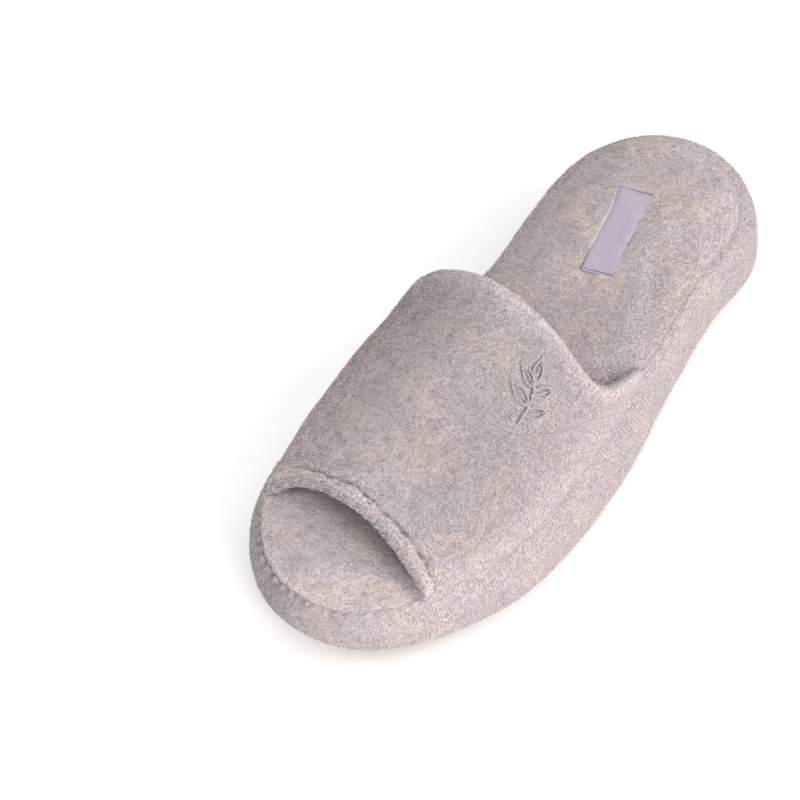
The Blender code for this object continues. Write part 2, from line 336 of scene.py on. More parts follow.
@dataclass(frozen=True)
class Relief:
    """Soft unevenness of a padded skin: a slow sway and smaller lumps."""

    sway: float = 0.00040
    sway_size: float = 0.016
    lump: float = 0.00022
    lump_size: float = 0.0045
    seed: int = 3

    def at(self, points: Array) -> Array:
        """How far each point moves along its normal.

        Args:
            points: The skin's points.

        Returns:
            One distance for each point.
        """
        shift = Vector((self.seed * 0.37, self.seed * 0.11, self.seed * 0.23))
        moved = []
        for point in points.reshape(-1, 3):
            at = Vector(point) + shift
            slow = noise.noise(at / self.sway_size)
            moved.append(self.sway * slow + self.lump * noise.noise(at / self.lump_size))
        return np.array(moved).reshape(points.shape[:-1])


class Graph:
    """A node tree, with short calls that add nodes and join them."""

    def __init__(self, tree: bpy.types.NodeTree) -> None:
        """Keeps the tree."""
        self.tree = tree

    def add(self, kind: str, inputs: dict[Any, Any] | None = None, **settings: Any) -> bpy.types.Node:
        """Adds a node.

        Args:
            kind: Its type.
            inputs: Values, or sockets to join, by the input's name or number.
            settings: The node's own properties.

        Returns:
            The node.
        """
        node = self.tree.nodes.new(kind)
        for name, value in settings.items():
            setattr(node, name, value)
        for key, value in (inputs or {}).items():
            if isinstance(value, bpy.types.NodeSocket):
                self.tree.links.new(value, node.inputs[key])
            else:
                node.inputs[key].default_value = value
        return node

    def math(self, operation: str, *values: Any) -> Socket:
        """A Math node's result."""
        return self.add("ShaderNodeMath", dict(enumerate(values)), operation=operation).outputs[0]

    def vector(self, operation: str, *values: Any) -> Socket:
        """A Vector Math node's result; a Scale takes its factor last."""
        slots = dict(enumerate(values)) if operation != "SCALE" else {0: values[0], "Scale": values[1]}
        return self.add("ShaderNodeVectorMath", slots, operation=operation).outputs[0]

    def noise(self, place: Socket, size: float, detail: float, roughness: float = 0.5) -> Socket:
        """Noise about 0.5 with features about size metres across, and finer layers in it."""
        inputs = {"Vector": place, "Scale": 1 / size, "Detail": detail, "Roughness": roughness}
        return self.add("ShaderNodeTexNoise", inputs).outputs["Fac"]

    def ramp(self, value: Socket, low: float, high: float, to: tuple[float, float] = (0, 1)) -> Socket:
        """The value spread smoothly from low and high to two ends, and clamped there."""
        inputs = {"Value": value, "From Min": low, "From Max": high, "To Min": to[0], "To Max": to[1]}
        return self.add("ShaderNodeMapRange", inputs, interpolation_type="SMOOTHSTEP").outputs[0]

    def grey(self, value: Socket) -> Socket:
        """The value as a grey colour."""
        return self.add("ShaderNodeCombineColor", {0: value, 1: value, 2: value}).outputs[0]

    def blend(self, factor: Any, first: Any, second: Any, mode: str = "MIX") -> Socket:
        """Two colours or sockets mixed, with this much of the second."""
        inputs = {0: factor, 6: first, 7: second}
        return self.add("ShaderNodeMix", inputs, data_type="RGBA", blend_type=mode).outputs[2]


class Surface(Graph):
    """A new material with a Principled shader, and the graph that feeds it."""

    def __init__(self, name: str, **constants: float) -> None:
        """Makes the material.

        Args:
            name: The material's name.
            constants: The shader's own values, with underscores for the spaces in their names.
        """
        self.material = bpy.data.materials.new(name)
        self.material.use_nodes = True
        super().__init__(self.material.node_tree)
        self.shader = self.tree.nodes["Principled BSDF"]
        for key, value in constants.items():
            self.shader.inputs[key.replace("_", " ")].default_value = value

    @cached_property
    def place(self) -> Socket:
        """Object coordinates."""
        return self.add("ShaderNodeTexCoord").outputs["Object"]

    def attribute(self, name: str) -> Socket:
        """A value kept at the mesh's points."""
        return self.add("ShaderNodeAttribute", attribute_name=name).outputs["Fac"]

    def bump(self, height: Socket, strength: float, depth: float) -> Socket:
        """A bump of the normal from a height."""
        inputs = {"Strength": strength, "Distance": depth, "Height": height}
        return self.add("ShaderNodeBump", inputs).outputs[0]

    def feed(self, **sockets: Socket) -> bpy.types.Material:
        """Joins sockets to the shader, named as its constants are, and returns the material."""
        for key, value in sockets.items():
            self.tree.links.new(value, self.shader.inputs[key.replace("_", " ")])
        return self.material


class Colour(NamedTuple):
    """A linear colour."""

    red: float
    green: float
    blue: float

    def rgba(self, tone: float = 1.0) -> tuple[float, ...]:
        """The colour in this tone, with full alpha."""
        return (*(tone * part for part in self), 1.0)


class Speckle(NamedTuple):
    """Spots of another colour: the noise that sets them, and where and how far they show."""

    size: float
    detail: float
    roughness: float
    starts: float
    full: float
    most: float

    def on(self, surface: Surface, place: Socket) -> Socket:
        """How much of the spots' colour shows at a place."""
        spots = surface.noise(place, self.size, self.detail, self.roughness)
        return surface.ramp(spots, self.starts, self.full, (0.0, self.most))


CLOTH = {"Specular_IOR_Level": 0.15, "Sheen_Weight": 0.50, "Sheen_Roughness": 0.4}


@dataclass(frozen=True)
class TerryFinish:
    """Heathered terry: a warm grey yarn with beige patches, darker flecks and a soft nap.

    Where the mesh keeps a low "grain", flecks and fibres are fainter.
    """

    name: str
    tone: float = 1.0
    rib_pitch: float = 0.0
    rib_tones: tuple[float, float] = (0.88, 1.05)
    yarn: Colour = Colour(0.470, 0.395, 0.400)
    beige: Colour = Colour(0.528, 0.428, 0.393)
    shade: Colour = Colour(0.340, 0.298, 0.316)
    pale: Colour = Colour(0.600, 0.530, 0.538)
    patches: Speckle = Speckle(size=0.020, detail=3.0, roughness=0.6, starts=0.49, full=0.62, most=0.78)
    flecks: Speckle = Speckle(size=0.0050, detail=3.0, roughness=0.54, starts=0.50, full=0.30, most=0.80)
    fibres: Speckle = Speckle(size=0.00045, detail=2.0, roughness=0.6, starts=0.42, full=0.64, most=0.78)
    grain_span: tuple[float, float] = (0.3, 1.7)
    grain_shows: tuple[float, float] = (0.35, 1.0)
    loop_size: float = 0.0009
    loop_depth: float = 0.0006
    loop_bump: float = 0.8

    def colour(self, surface: Surface) -> Socket:
        """The heather: patches, then flecks, then single fibres, then the painted light and shade that the
        mesh keeps in "tone", and the ribs of a stretched wrap.

        Args:
            surface: The material.

        Returns:
            The colour.
        """
        place = surface.place
        even = surface.ramp(surface.attribute("grain"), *self.grain_span, self.grain_shows)
        dark, light = (
            surface.math("MULTIPLY", spots.on(surface, place), even) for spots in (self.flecks, self.fibres)
        )
        patches = self.patches.on(surface, place)
        warm = surface.blend(patches, self.yarn.rgba(self.tone), self.beige.rgba(self.tone))
        heather = surface.blend(dark, warm, self.shade.rgba(self.tone))
        heather = surface.blend(light, heather, self.pale.rgba(self.tone))
        # Painted light and shade: each point's "tone" lightens or darkens the heather.
        mixed = surface.blend(1.0, heather, surface.grey(surface.attribute("tone")), "MULTIPLY")
        if not self.rib_pitch:
            return mixed
        turn = surface.math("MULTIPLY", surface.attribute("around"), 2 * math.pi / self.rib_pitch)
        rib = surface.ramp(surface.math("SINE", turn), -1.0, 1.0, self.rib_tones)
        return surface.blend(1.0, mixed, surface.grey(rib), "MULTIPLY")

    def skin(self) -> bpy.types.Material:
        """The cloth under the pile, with its loops as bump.

        Returns:
            The material.
        """
        surface = Surface(self.name, Roughness=0.95, **CLOTH)
        inputs = {"Vector": surface.place, "Scale": 1 / self.loop_size}
        loops = surface.add("ShaderNodeTexVoronoi", inputs, feature="F1").outputs["Distance"]
        uneven = surface.noise(surface.place, 2.5 * self.loop_size, 3.0, 0.6)
        bump = surface.bump(surface.math("ADD", loops, uneven), self.loop_bump, self.loop_depth)
        return surface.feed(Normal=bump, Base_Color=self.colour(surface))

    def pile(self) -> bpy.types.Material:
        """The tufts: the same heather, each tuft a little lighter or darker than the next.

        Returns:
            The material.
        """
        surface = Surface(self.name + "_pile", Roughness=0.90, **CLOTH)
        tint = surface.grey(surface.attribute("tint"))
        return surface.feed(Base_Color=surface.blend(1.0, self.colour(surface), tint, "MULTIPLY"))


@dataclass(frozen=True)
class RubberFinish:
    """Tan rubber of the outsole: a fine pebble, pale scuffs and specks of dust."""

    rubber: Colour = Colour(0.335, 0.215, 0.160)
    scuff: Colour = Colour(0.40, 0.285, 0.225)
    dirt: Colour = Colour(0.22, 0.145, 0.11)
    scuffs: Speckle = Speckle(size=0.018, detail=6.0, roughness=0.65, starts=0.52, full=0.66, most=0.55)
    dust: Speckle = Speckle(size=0.006, detail=5.0, roughness=0.6, starts=0.56, full=0.72, most=0.35)
    pebble_size: float = 0.0009
    pebble_depth: float = 0.0002
    roughness: tuple[float, float] = (0.62, 0.85)

    def material(self) -> bpy.types.Material:
        """The finish as a material.

        Returns:
            The material.
        """
        surface = Surface("tan_rubber", Specular_IOR_Level=0.35)
        scuffs = self.scuffs.on(surface, surface.place)
        worn = surface.blend(scuffs, self.rubber.rgba(), self.scuff.rgba())
        pebbles = surface.noise(surface.place, self.pebble_size, 2.0)
        return surface.feed(
            Base_Color=surface.blend(self.dust.on(surface, surface.place), worn, self.dirt.rgba()),
            Roughness=surface.ramp(scuffs, 0.0, 1.0, self.roughness),
            Normal=surface.bump(pebbles, 0.35, self.pebble_depth),
        )


@dataclass(frozen=True)
class SatinFinish:
    """Lilac satin of the label: fine warp lines, read from the piece's own UV map in metres."""

    lilac: Colour = Colour(0.352, 0.302, 0.372)
    deep: Colour = Colour(0.270, 0.238, 0.310)
    warp_pitch: float = 0.00032
    warp_shade: float = 0.18
    warp_depth: float = 0.00008
    clouds: Speckle = Speckle(size=0.0035, detail=3.0, roughness=0.5, starts=0.4, full=0.62, most=0.30)
    roughness: tuple[float, float] = (0.38, 0.55)

    def material(self) -> bpy.types.Material:
        """The finish as a material.

        Returns:
            The material.
        """
        surface = Surface(
            "lilac_satin_weave", Specular_IOR_Level=0.3, Sheen_Weight=0.05, Sheen_Roughness=0.3
        )
        place = surface.add("ShaderNodeUVMap", uv_map="weave").outputs[0]
        scale = 1 / (math.pi * self.warp_pitch)
        inputs = {"Vector": place, "Scale": scale, "Distortion": 0.6, "Detail": 1.0}
        wave = surface.add("ShaderNodeTexWave", inputs, wave_type="BANDS", bands_direction="X")
        warp = wave.outputs["Fac"]
        satin = surface.blend(self.clouds.on(surface, place), self.lilac.rgba(), self.deep.rgba())
        lines = surface.math("MULTIPLY", warp, self.warp_shade)
        return surface.feed(
            Base_Color=surface.blend(lines, satin, self.deep.rgba()),
            Roughness=surface.ramp(warp, 0.0, 1.0, self.roughness),
            Normal=surface.bump(warp, 0.4, self.warp_depth),
        )


@dataclass(frozen=True)
class ThreadFinish:
    """Twisted sewing thread with a low gloss."""

    name: str
    thread: Colour
    ply_size: float = 0.0004
    ply_depth: float = 0.0001
    ply_shade: float = 0.62

    def material(self) -> bpy.types.Material:
        """The finish as a material.

        Returns:
            The material.
        """
        surface = Surface(
            self.name, Roughness=0.5, Specular_IOR_Level=0.4, Sheen_Weight=0.3, Sheen_Roughness=0.4
        )
        ply = surface.noise(surface.place, self.ply_size, 1.0)
        twist = surface.ramp(ply, 0.40, 0.60)
        return surface.feed(
            Base_Color=surface.blend(twist, self.thread.rgba(self.ply_shade), self.thread.rgba()),
            Normal=surface.bump(ply, 0.5, self.ply_depth),
        )


@dataclass(frozen=True)
class PaperFinish:
    """The studio's pale paper, faintly uneven."""

    paper: Colour = Colour(0.925, 0.925, 0.925)
    cloud_size: float = 0.5
    cloud_tones: tuple[float, float] = (0.98, 1.0)

    def material(self) -> bpy.types.Material:
        """The finish as a material.

        Returns:
            The material.
        """
        surface = Surface("pale_paper", Roughness=0.9, Specular_IOR_Level=0.1)
        clouds = surface.noise(surface.place, self.cloud_size, 2.0)
        faint = surface.grey(surface.ramp(clouds, 0.3, 0.7, self.cloud_tones))
        return surface.feed(Base_Color=surface.blend(1.0, self.paper.rgba(), faint, "MULTIPLY"))


def link(made: bpy.types.Object) -> bpy.types.Object:
    """Puts the object in the scene and returns it."""
    bpy.context.scene.collection.objects.link(made)
    return made


def grid_faces(loops: int, count: int, wrap: bool = True) -> list[tuple[int, ...]]:
    """Quads between neighbouring loops of points.

    Args:
        loops: How many loops.
        count: How many points each has.
        wrap: Whether a loop's last point joins its first.

    Returns:
        The faces.
    """
    faces = []
    for low in range(0, (loops - 1) * count, count):
        for step in range(count if wrap else count - 1):
            after = (step + 1) % count
            faces.append((low + step, low + after, low + count + after, low + count + step))
    return faces


def ladder(first: int, count: int) -> list[tuple[int, ...]]:
    """Faces across a loop of points, as rungs from one side to the other.

    Args:
        first: Number of the loop's first point.
        count: How many points it has.

    Returns:
        The faces.
    """
    half = count // 2
    faces: list[tuple[int, ...]] = [(first, first + 1, first + count - 1)]
    for step in range(1, half - 1):
        faces.append((first + step, first + step + 1, first + count - step - 1, first + count - step))
    faces.append((first + half - 1, first + half, first + half + 1))
    return faces


def skin_object(name: str, points: Array, faces: list[tuple[int, ...]]) -> bpy.types.Object:
    """A smooth closed mesh whose faces point outwards.

    Args:
        name: The object's name.
        points: Its points.
        faces: Its faces.

    Returns:
        The object, in the scene.
    """
    mesh = bpy.data.meshes.new(name)
    mesh.from_pydata(points.reshape(-1, 3).tolist(), [], faces)
    built = bmesh.new()
    built.from_mesh(mesh)
    bmesh.ops.triangulate(built, faces=[face for face in built.faces if len(face.verts) > 4])
    bmesh.ops.recalc_face_normals(built, faces=built.faces)
    built.to_mesh(mesh)
    built.free()
    mesh.shade_smooth()
    return link(bpy.data.objects.new(name, mesh))


def loft(name: str, rings: Array) -> bpy.types.Object:
    """A closed skin over rings of points, with rungs across its first and last ring.

    Args:
        name: The object's name.
        rings: The rings, one to a row.

    Returns:
        The object, in the scene.
    """
    count = rings.shape[1]
    ends = ladder(0, count) + ladder((len(rings) - 1) * count, count)
    return skin_object(name, rings, grid_faces(len(rings), count) + ends)


def vectors_of(items: Any, key: str) -> Array:
    """Three numbers of each of a mesh's items, a row for each."""
    values = np.empty(len(items) * 3, np.float32)
    items.foreach_get(key, values)
    return values.reshape(-1, 3).astype(float)


def normals_of(made: bpy.types.Object) -> Array:
    """The mesh's vertex normals."""
    return vectors_of(made.data.vertex_normals, "vector")


def points_of(made: bpy.types.Object) -> Array:
    """The mesh's points."""
    return vectors_of(made.data.vertices, "co")


def set_points(made: bpy.types.Object, points: Array) -> None:
    """Moves the mesh's points."""
    made.data.vertices.foreach_set("co", points.astype(np.float32).ravel())
    made.data.update()


def store(made: bpy.types.Object, name: str, values: Array) -> None:
    """Keeps a value or a vector at each point of a mesh.

    Args:
        made: The object.
        name: The attribute's name.
        values: One number or three for each point.
    """
    flat = values.ndim == 1
    kept = made.data.attributes.new(name, "FLOAT" if flat else "FLOAT_VECTOR", "POINT")
    kept.data.foreach_set("value" if flat else "vector", values.astype(np.float32).ravel())


def evaluated(made: bpy.types.Object, name: str) -> bpy.types.Object:
    """A plain mesh object of what an object's modifiers make of it.

    Args:
        made: The object with live modifiers.
        name: The new object's name.

    Returns:
        The new object, in the scene.
    """
    graph = bpy.context.evaluated_depsgraph_get()
    mesh = bpy.data.meshes.new_from_object(made.evaluated_get(graph))
    mesh.name = name
    return link(bpy.data.objects.new(name, mesh))


@dataclass(frozen=True)
class Scatter:
    """Small shapes set on a guide mesh by Geometry Nodes. Each of its numbers is a named input."""

    seed: int = 0

    def values(self) -> dict[str, Any]:
        """The inputs' values, by name."""
        return {item.name.replace("_", " ").title(): getattr(self, item.name) for item in fields(self)}

    def place(self, graph: Graph, given: Any) -> Socket:
        """Adds the nodes that place the shapes; each kind of scatter has its own."""
        raise NotImplementedError

    def group(self) -> bpy.types.NodeTree:
        """The Geometry Nodes group of this kind of scatter, which is made once.

        Returns:
            The group.
        """
        name = type(self).__name__.lower()
        found = bpy.data.node_groups.get(name)
        if found:
            return found
        tree = bpy.data.node_groups.new(name, "GeometryNodeTree")
        kinds = {key: "Int" if isinstance(value, int) else "Float" for key, value in self.values().items()}
        for key, kind in {"Geometry": "Geometry", **kinds, "Finish": "Material"}.items():
            tree.interface.new_socket(key, in_out="INPUT", socket_type=f"NodeSocket{kind}")
        tree.interface.new_socket("Geometry", in_out="OUTPUT", socket_type="NodeSocketGeometry")
        graph = Graph(tree)
        given = graph.add("NodeGroupInput").outputs
        placed = self.place(graph, given)
        real = graph.add("GeometryNodeRealizeInstances", {"Geometry": placed}).outputs[0]
        smooth = graph.add("GeometryNodeSetShadeSmooth", {"Geometry": real}).outputs[0]
        dressed = graph.add("GeometryNodeSetMaterial", {"Geometry": smooth, "Material": given["Finish"]})
        graph.add("NodeGroupOutput", {0: dressed.outputs[0]})
        return tree

    def grow(self, guide: bpy.types.Object, name: str, finish: bpy.types.Material) -> bpy.types.Object:
        """Sets the shapes on a guide mesh.

        Args:
            guide: The mesh object, which stays as it is.
            name: The new object's name.
            finish: The shapes' material.

        Returns:
            The shapes as one plain mesh object.
        """
        modifier = guide.modifiers.new("scatter", "NODES")
        modifier.node_group = self.group()
        values = {**self.values(), "Finish": finish}
        for item in modifier.node_group.interface.items_tree:
            if item.item_type == "SOCKET" and item.in_out == "INPUT" and item.name in values:
                modifier[item.identifier] = values[item.name]
        made = evaluated(guide, name)
        guide.modifiers.remove(modifier)
        return made

    @staticmethod
    def jitter(graph: Graph, given: Any) -> Socket:
        """A random vector for each shape, up to 1 either way on each axis."""
        inputs = {"Min": (-1.0, -1.0, -1.0), "Max": (1.0, 1.0, 1.0), "Seed": given["Seed"]}
        return graph.add("FunctionNodeRandomValue", inputs, data_type="FLOAT_VECTOR").outputs[0]

    @staticmethod
    def chance(graph: Graph, low: float, high: float, seed: int) -> Socket:
        """A random number for each shape, from low to high."""
        inputs = {2: low, 3: high, "Seed": seed}
        return graph.add("FunctionNodeRandomValue", inputs, data_type="FLOAT").outputs[1]


@dataclass(frozen=True)
class Pile(Scatter):
    """Terry's tufts, set over a skin: they lean with its nap, swirl a little and differ in size.

    The skin keeps its cover in "pile", the way of its nap in "nap" and its unevenness in "grain".
    """

    spacing: float = 0.00044
    density: float = 9.0e6
    length: float = 0.00084
    width: float = 0.00023
    lean: float = 1.0
    swirl: float = 0.80
    swirl_size: float = 0.0050
    ruffle: float = 0.45
    shortest: float = 0.6
    longest: float = 1.3
    darkest: float = -0.27
    lightest: float = 0.23

    def place(self, graph: Graph, given: Any) -> Socket:
        """Scatters points over the skin's faces and stands a leaning three-sided tuft on each.

        Args:
            graph: The group's graph.
            given: The group's inputs, by name.

        Returns:
            The placed tufts.
        """
        cover, nap, grain = (
            graph.add("GeometryNodeInputNamedAttribute", {"Name": name}, data_type=kind).outputs[0]
            for name, kind in (("pile", "FLOAT"), ("nap", "FLOAT_VECTOR"), ("grain", "FLOAT"))
        )
        spread = {"Distance Min": given["Spacing"], "Density Max": given["Density"], "Density Factor": cover}
        points = graph.add(
            "GeometryNodeDistributePointsOnFaces",
            {"Mesh": given["Geometry"], "Seed": given["Seed"], **spread},
            distribute_method="POISSON",
        ).outputs
        here = graph.add("GeometryNodeInputPosition").outputs[0]
        scaled = graph.vector("DIVIDE", here, given["Swirl Size"])
        drift = graph.add("ShaderNodeTexNoise", {"Vector": scaled, "Scale": 1.0, "Detail": 1.0})
        centred = graph.vector("SUBTRACT", drift.outputs["Color"], (0.5, 0.5, 0.5))
        way = graph.vector("ADD", points["Normal"], graph.vector("SCALE", nap, given["Lean"]))
        swirl = graph.math("MULTIPLY", given["Swirl"], grain)
        way = graph.vector("ADD", way, graph.vector("SCALE", centred, swirl))
        jitter = graph.vector("SCALE", self.jitter(graph, given), given["Ruffle"])
        stand = graph.add(
            "FunctionNodeAlignRotationToVector", {"Vector": graph.vector("ADD", way, jitter)}, axis="Z"
        )
        angle = self.chance(graph, 0.0, 2 * math.pi, 11)
        turn = graph.add("FunctionNodeAxisAngleToRotation", {"Axis": (0.0, 0.0, 1.0), "Angle": angle})
        rotations = {"Rotation": stand.outputs[0], "Rotate By": turn.outputs[0]}
        turned = graph.add("FunctionNodeRotateRotation", rotations, rotation_space="LOCAL")
        sizes = {"Radius Top": 0.0, "Radius Bottom": given["Width"], "Depth": given["Length"]}
        tuft = graph.add("GeometryNodeMeshCone", {"Vertices": 3, **sizes}, fill_type="NGON")
        height = graph.math("MULTIPLY", self.chance(graph, self.shortest, self.longest, 5), cover)
        placed = graph.add(
            "GeometryNodeInstanceOnPoints",
            {
                "Points": points["Points"],
                "Instance": tuft.outputs["Mesh"],
                "Rotation": turned.outputs[0],
                "Scale": height,
            },
        )
        uneven = graph.math("MULTIPLY", self.chance(graph, self.darkest, self.lightest, 3), grain)
        return graph.add(
            "GeometryNodeStoreNamedAttribute",
            {"Geometry": placed.outputs[0], "Name": "tint", "Value": graph.math("ADD", uneven, 1.0)},
            data_type="FLOAT",
            domain="INSTANCE",
        ).outputs[0]


class Coat(NamedTuple):
    """A coat of pile: how much of it each point has, how uneven its tufts' tones are, its sizes."""

    shown: Array
    grain: Array
    pile: Pile


@dataclass(frozen=True)
class Stitching(Scatter):
    """Stitches that follow lines: short rounded threads, end to end, each turned a little."""

    pitch: float = 0.0016
    length: float = 0.0018
    thickness: float = 0.00042
    wander: float = 0.25

    def place(self, graph: Graph, given: Any) -> Socket:
        """Sets one stitch at each step along every line.

        Args:
            graph: The group's graph.
            given: The group's inputs, by name.

        Returns:
            The placed stitches.
        """
        lines = graph.add("GeometryNodeMeshToCurve", {"Mesh": given["Geometry"]}).outputs[0]
        steps = graph.add(
            "GeometryNodeResampleCurve", {"Curve": lines, "Length": given["Pitch"]}, mode="LENGTH"
        )
        tangent = graph.add("GeometryNodeInputTangent").outputs[0]
        wander = graph.vector("SCALE", self.jitter(graph, given), given["Wander"])
        way = graph.vector("ADD", tangent, wander)
        lie = graph.add("FunctionNodeAlignRotationToVector", {"Vector": way}, axis="Z")
        ball = graph.add("GeometryNodeMeshUVSphere", {"Segments": 6, "Rings": 6, "Radius": 0.5})
        sizes = {0: given["Thickness"], 1: given["Thickness"], 2: given["Length"]}
        return graph.add(
            "GeometryNodeInstanceOnPoints",
            {
                "Points": steps.outputs[0],
                "Instance": ball.outputs["Mesh"],
                "Rotation": lie.outputs[0],
                "Scale": graph.add("ShaderNodeCombineXYZ", sizes).outputs[0],
            },
        ).outputs[0]

    def sew(self, name: str, lines: list[Array], finish: bpy.types.Material) -> bpy.types.Object:
        """Sews along lines.

        Args:
            name: The stitches' object name.
            lines: The points of each line.
            finish: The thread's material.

        Returns:
            The stitches as one plain mesh object.
        """
        points: list[Any] = []
        edges: list[tuple[int, int]] = []
        for line in lines:
            first = len(points)
            points += line.tolist()
            edges += [(first + step, first + step + 1) for step in range(len(line) - 1)]
        mesh = bpy.data.meshes.new(name + "_lines")
        mesh.from_pydata(points, edges, [])
        guide = link(bpy.data.objects.new(name + "_lines", mesh))
        made = self.grow(guide, name, finish)
        bpy.data.objects.remove(guide)
        return made


@dataclass
class Terry:
    """A piece's terry: its finish, a slot name that nothing reads, and how far its skin lies under the pile.
    """

    finish: TerryFinish
    slot: str = "terry"
    sink: float = 0.0003

    @cached_property
    def skin_material(self) -> bpy.types.Material:
        """The finish under the pile."""
        return self.finish.skin()

    @cached_property
    def pile_material(self) -> bpy.types.Material:
        """The finish of the tufts."""
        return self.finish.pile()

    def cover(
        self, skin: bpy.types.Object, node: str, nap: Array, tone: Array, coats: dict[str, Coat]
    ) -> None:
        """Dresses a skin, grows its pile and puts all of it on the frame.

        Args:
            skin: The skin, which stands for a node.
            node: The node's name.
            nap: Which way the pile leans at each point.
            tone: The painted light and shade of the terry at each point: 1 is its own colour.
            coats: The coats of pile, by the names of their objects.
        """
        store(skin, "nap", nap)
        store(skin, "tone", tone)
        skin.data.materials.append(self.skin_material)
        pieces = [skin]
        for name, coat in coats.items():
            store(skin, "pile", coat.shown)
            store(skin, "grain", coat.grain)
            pieces.append(coat.pile.grow(skin, name, self.pile_material))
            for used in ("pile", "grain"):
                skin.data.attributes.remove(skin.data.attributes[used])
        store(skin, "grain", next(iter(coats.values())).grain)
        for piece in pieces:
            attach(piece, "root")
            piece.data.calc_loop_triangles()
            LOG.info("%s: %d triangles", piece.name, len(piece.data.loop_triangles))
        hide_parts(node)


@dataclass
class Outsole:
    """The rubber sole, kept as the frame has it and given its finish."""

    finish: RubberFinish = RubberFinish()

    def dress(self) -> None:
        """Puts the rubber on the node."""
        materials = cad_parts["outsole"].data.materials
        materials.clear()
        materials.append(self.finish.material())
        LOG.info("outsole: tan rubber")


@dataclass
class WrappedPlatform:
    """The wedge wrapped in terry: a full side that rolls in to the rim seam and dips under it.

    The zones are in the frame's y and x, and those of the fill in shares of the length and in
    metres from the outline's middle.
    """

    last: Last
    terry: Terry
    relief: Relief = Relief(seed=2)
    pile: Pile = Pile(spacing=0.00051, length=0.00078, width=0.00025, lean=0.8, seed=21)
    nap: tuple[float, float, float] = (0.25, -0.25, -0.8)
    count: int = 640
    levels: int = 40
    groove_depth: float = 0.0008
    groove_width: float = 0.0009
    fillet: float = 0.0030
    fillet_span: tuple[float, float] = (-0.0036, 0.0014)
    fill: float = 0.35
    fills: tuple[Zone, ...] = (
        Zone(along=(0.70, 0.58), right=(-0.030, 0.0), amount=0.65),
        Zone(along=(0.14, 0.08), right=(0.0, -0.030), amount=-0.15),
    )
    pucker: float = 0.00025
    gathers: int = 96
    bunches: int = 11
    inner_toe: Zone = Zone(along=(-0.06, -0.10), right=(0.005, -0.02), amount=3.0)
    behind: Zone = Zone(along=(0.020, 0.040), right=(0.0, 0.02), amount=1.0)
    smooth_side: Zone = Zone(along=(-0.105, -0.07), right=(-0.03, 0.03), amount=-1.1)
    grain: float = 1.5
    tone: float = 1.01
    # Painted light and shade on the band: darker at the inner toe, lighter at the outer toe, lighter round
    # the heel but darker on its outer side.
    tones: tuple[Zone, ...] = (
        Zone(along=(-0.06, -0.10), right=(0.005, -0.02), amount=-0.20),
        Zone(along=(-0.04, -0.09), right=(0.0, 0.03), amount=0.06),
        Zone(along=(0.07, 0.12), amount=0.14),
        Zone(along=(0.07, 0.12), right=(-0.005, 0.022), amount=-0.22),
    )
    # Painted shade along the rim seam's groove, broken along its length and deeper at the inner toe and
    # towards the heel, and a painted highlight on the crests of the inner toe's gathers.
    seam_pitch: float = 0.009
    seam_shade: float = 0.10
    seam_shade_inner_toe: float = 0.40
    seam_shade_behind: float = 0.20
    ruffle_light: float = 0.26
    profile: tuple[Step, ...] = (
        Step(height=0.00, inward=0.55),
        Step(height=0.07, inward=0.20),
        Step(height=0.24, inward=0.02),
        Step(height=0.48, inward=0.00),
        Step(height=0.74, inward=0.08),
        Step(height=0.90, inward=0.34),
        Step(height=0.98, inward=0.70),
        Step(height=1.00, inward=1.00),
    )

    def rings(self) -> Array:
        """Rings of points from the underside up over the side and down into the seam.

        Returns:
            The points, one row for each ring.
        """
        high, inward = profile_curves(self.profile)
        outline = self.last.plan(0.0, self.count)
        rim = self.last.rim_inset(outline[:, 1])
        shares = np.linspace(0, 1, self.levels)
        insets = [rim * float(inward(share)) for share in shares]
        rings = [self.ring(inset, float(high(share)), 0.0) for inset, share in zip(insets, shares)]
        for step in (0.5, 1.0):
            insets.append(rim + self.groove_width * step)
            rings.append(self.ring(insets[-1], 1.0, self.groove_depth * step))
        made, inset = np.array(rings), np.array(insets)
        start, end = self.fillet_span
        climb = self.fillet * ease(inset, rim + start, rim + end)
        climb += self.groove_depth * ease(inset, rim, rim + self.groove_width)
        along, right = self.last.share(made[0, :, 1]), made[0, :, 0] + self.last.centre_x
        made[..., 2] += climb * (self.fill + added(self.fills, along, right))
        return made

    def ring(self, inset: Array, height: float, drop: float) -> Array:
        """One ring of points.

        Args:
            inset: How far inside the outline it lies.
            height: Its share of the way from the underside to the seam.
            drop: How far below that it lies.

        Returns:
            The ring's points.
        """
        plan = self.last.plan(inset, self.count)
        foot = self.last.platform_foot(plan[:, 1])
        top = self.last.seam_height(plan[:, 1])
        return np.column_stack([plan, foot + height * (top - foot) - drop])

    def dress(self) -> None:
        """Builds the platform's skin and covers it."""
        rings = self.rings()
        skin = loft("platform_terry", rings)
        points = points_of(skin)
        x, y = points[:, 0], points[:, 1]
        level = np.repeat(np.arange(len(rings)), self.count)
        top = self.levels - 1
        around = np.tile(np.arange(self.count) / self.count, len(rings))
        bunch = 2.0 * np.sin(2 * math.pi * self.bunches * around)
        gathers = np.sin(2 * math.pi * self.gathers * around + bunch)
        strong = 1 + added((self.inner_toe, self.behind), y, x)
        side = ease(level, 3, 7) * (1 - ease(level, top - 3, top + 1))
        moved = side * (self.relief.at(points) - self.terry.sink)
        moved += bell(level, top - 3, 3) * strong * self.pucker * gathers
        set_points(skin, points + normals_of(skin) * moved[:, None])
        girth = np.abs(around - 0.5) * self.girth()
        store(skin, "around", girth)
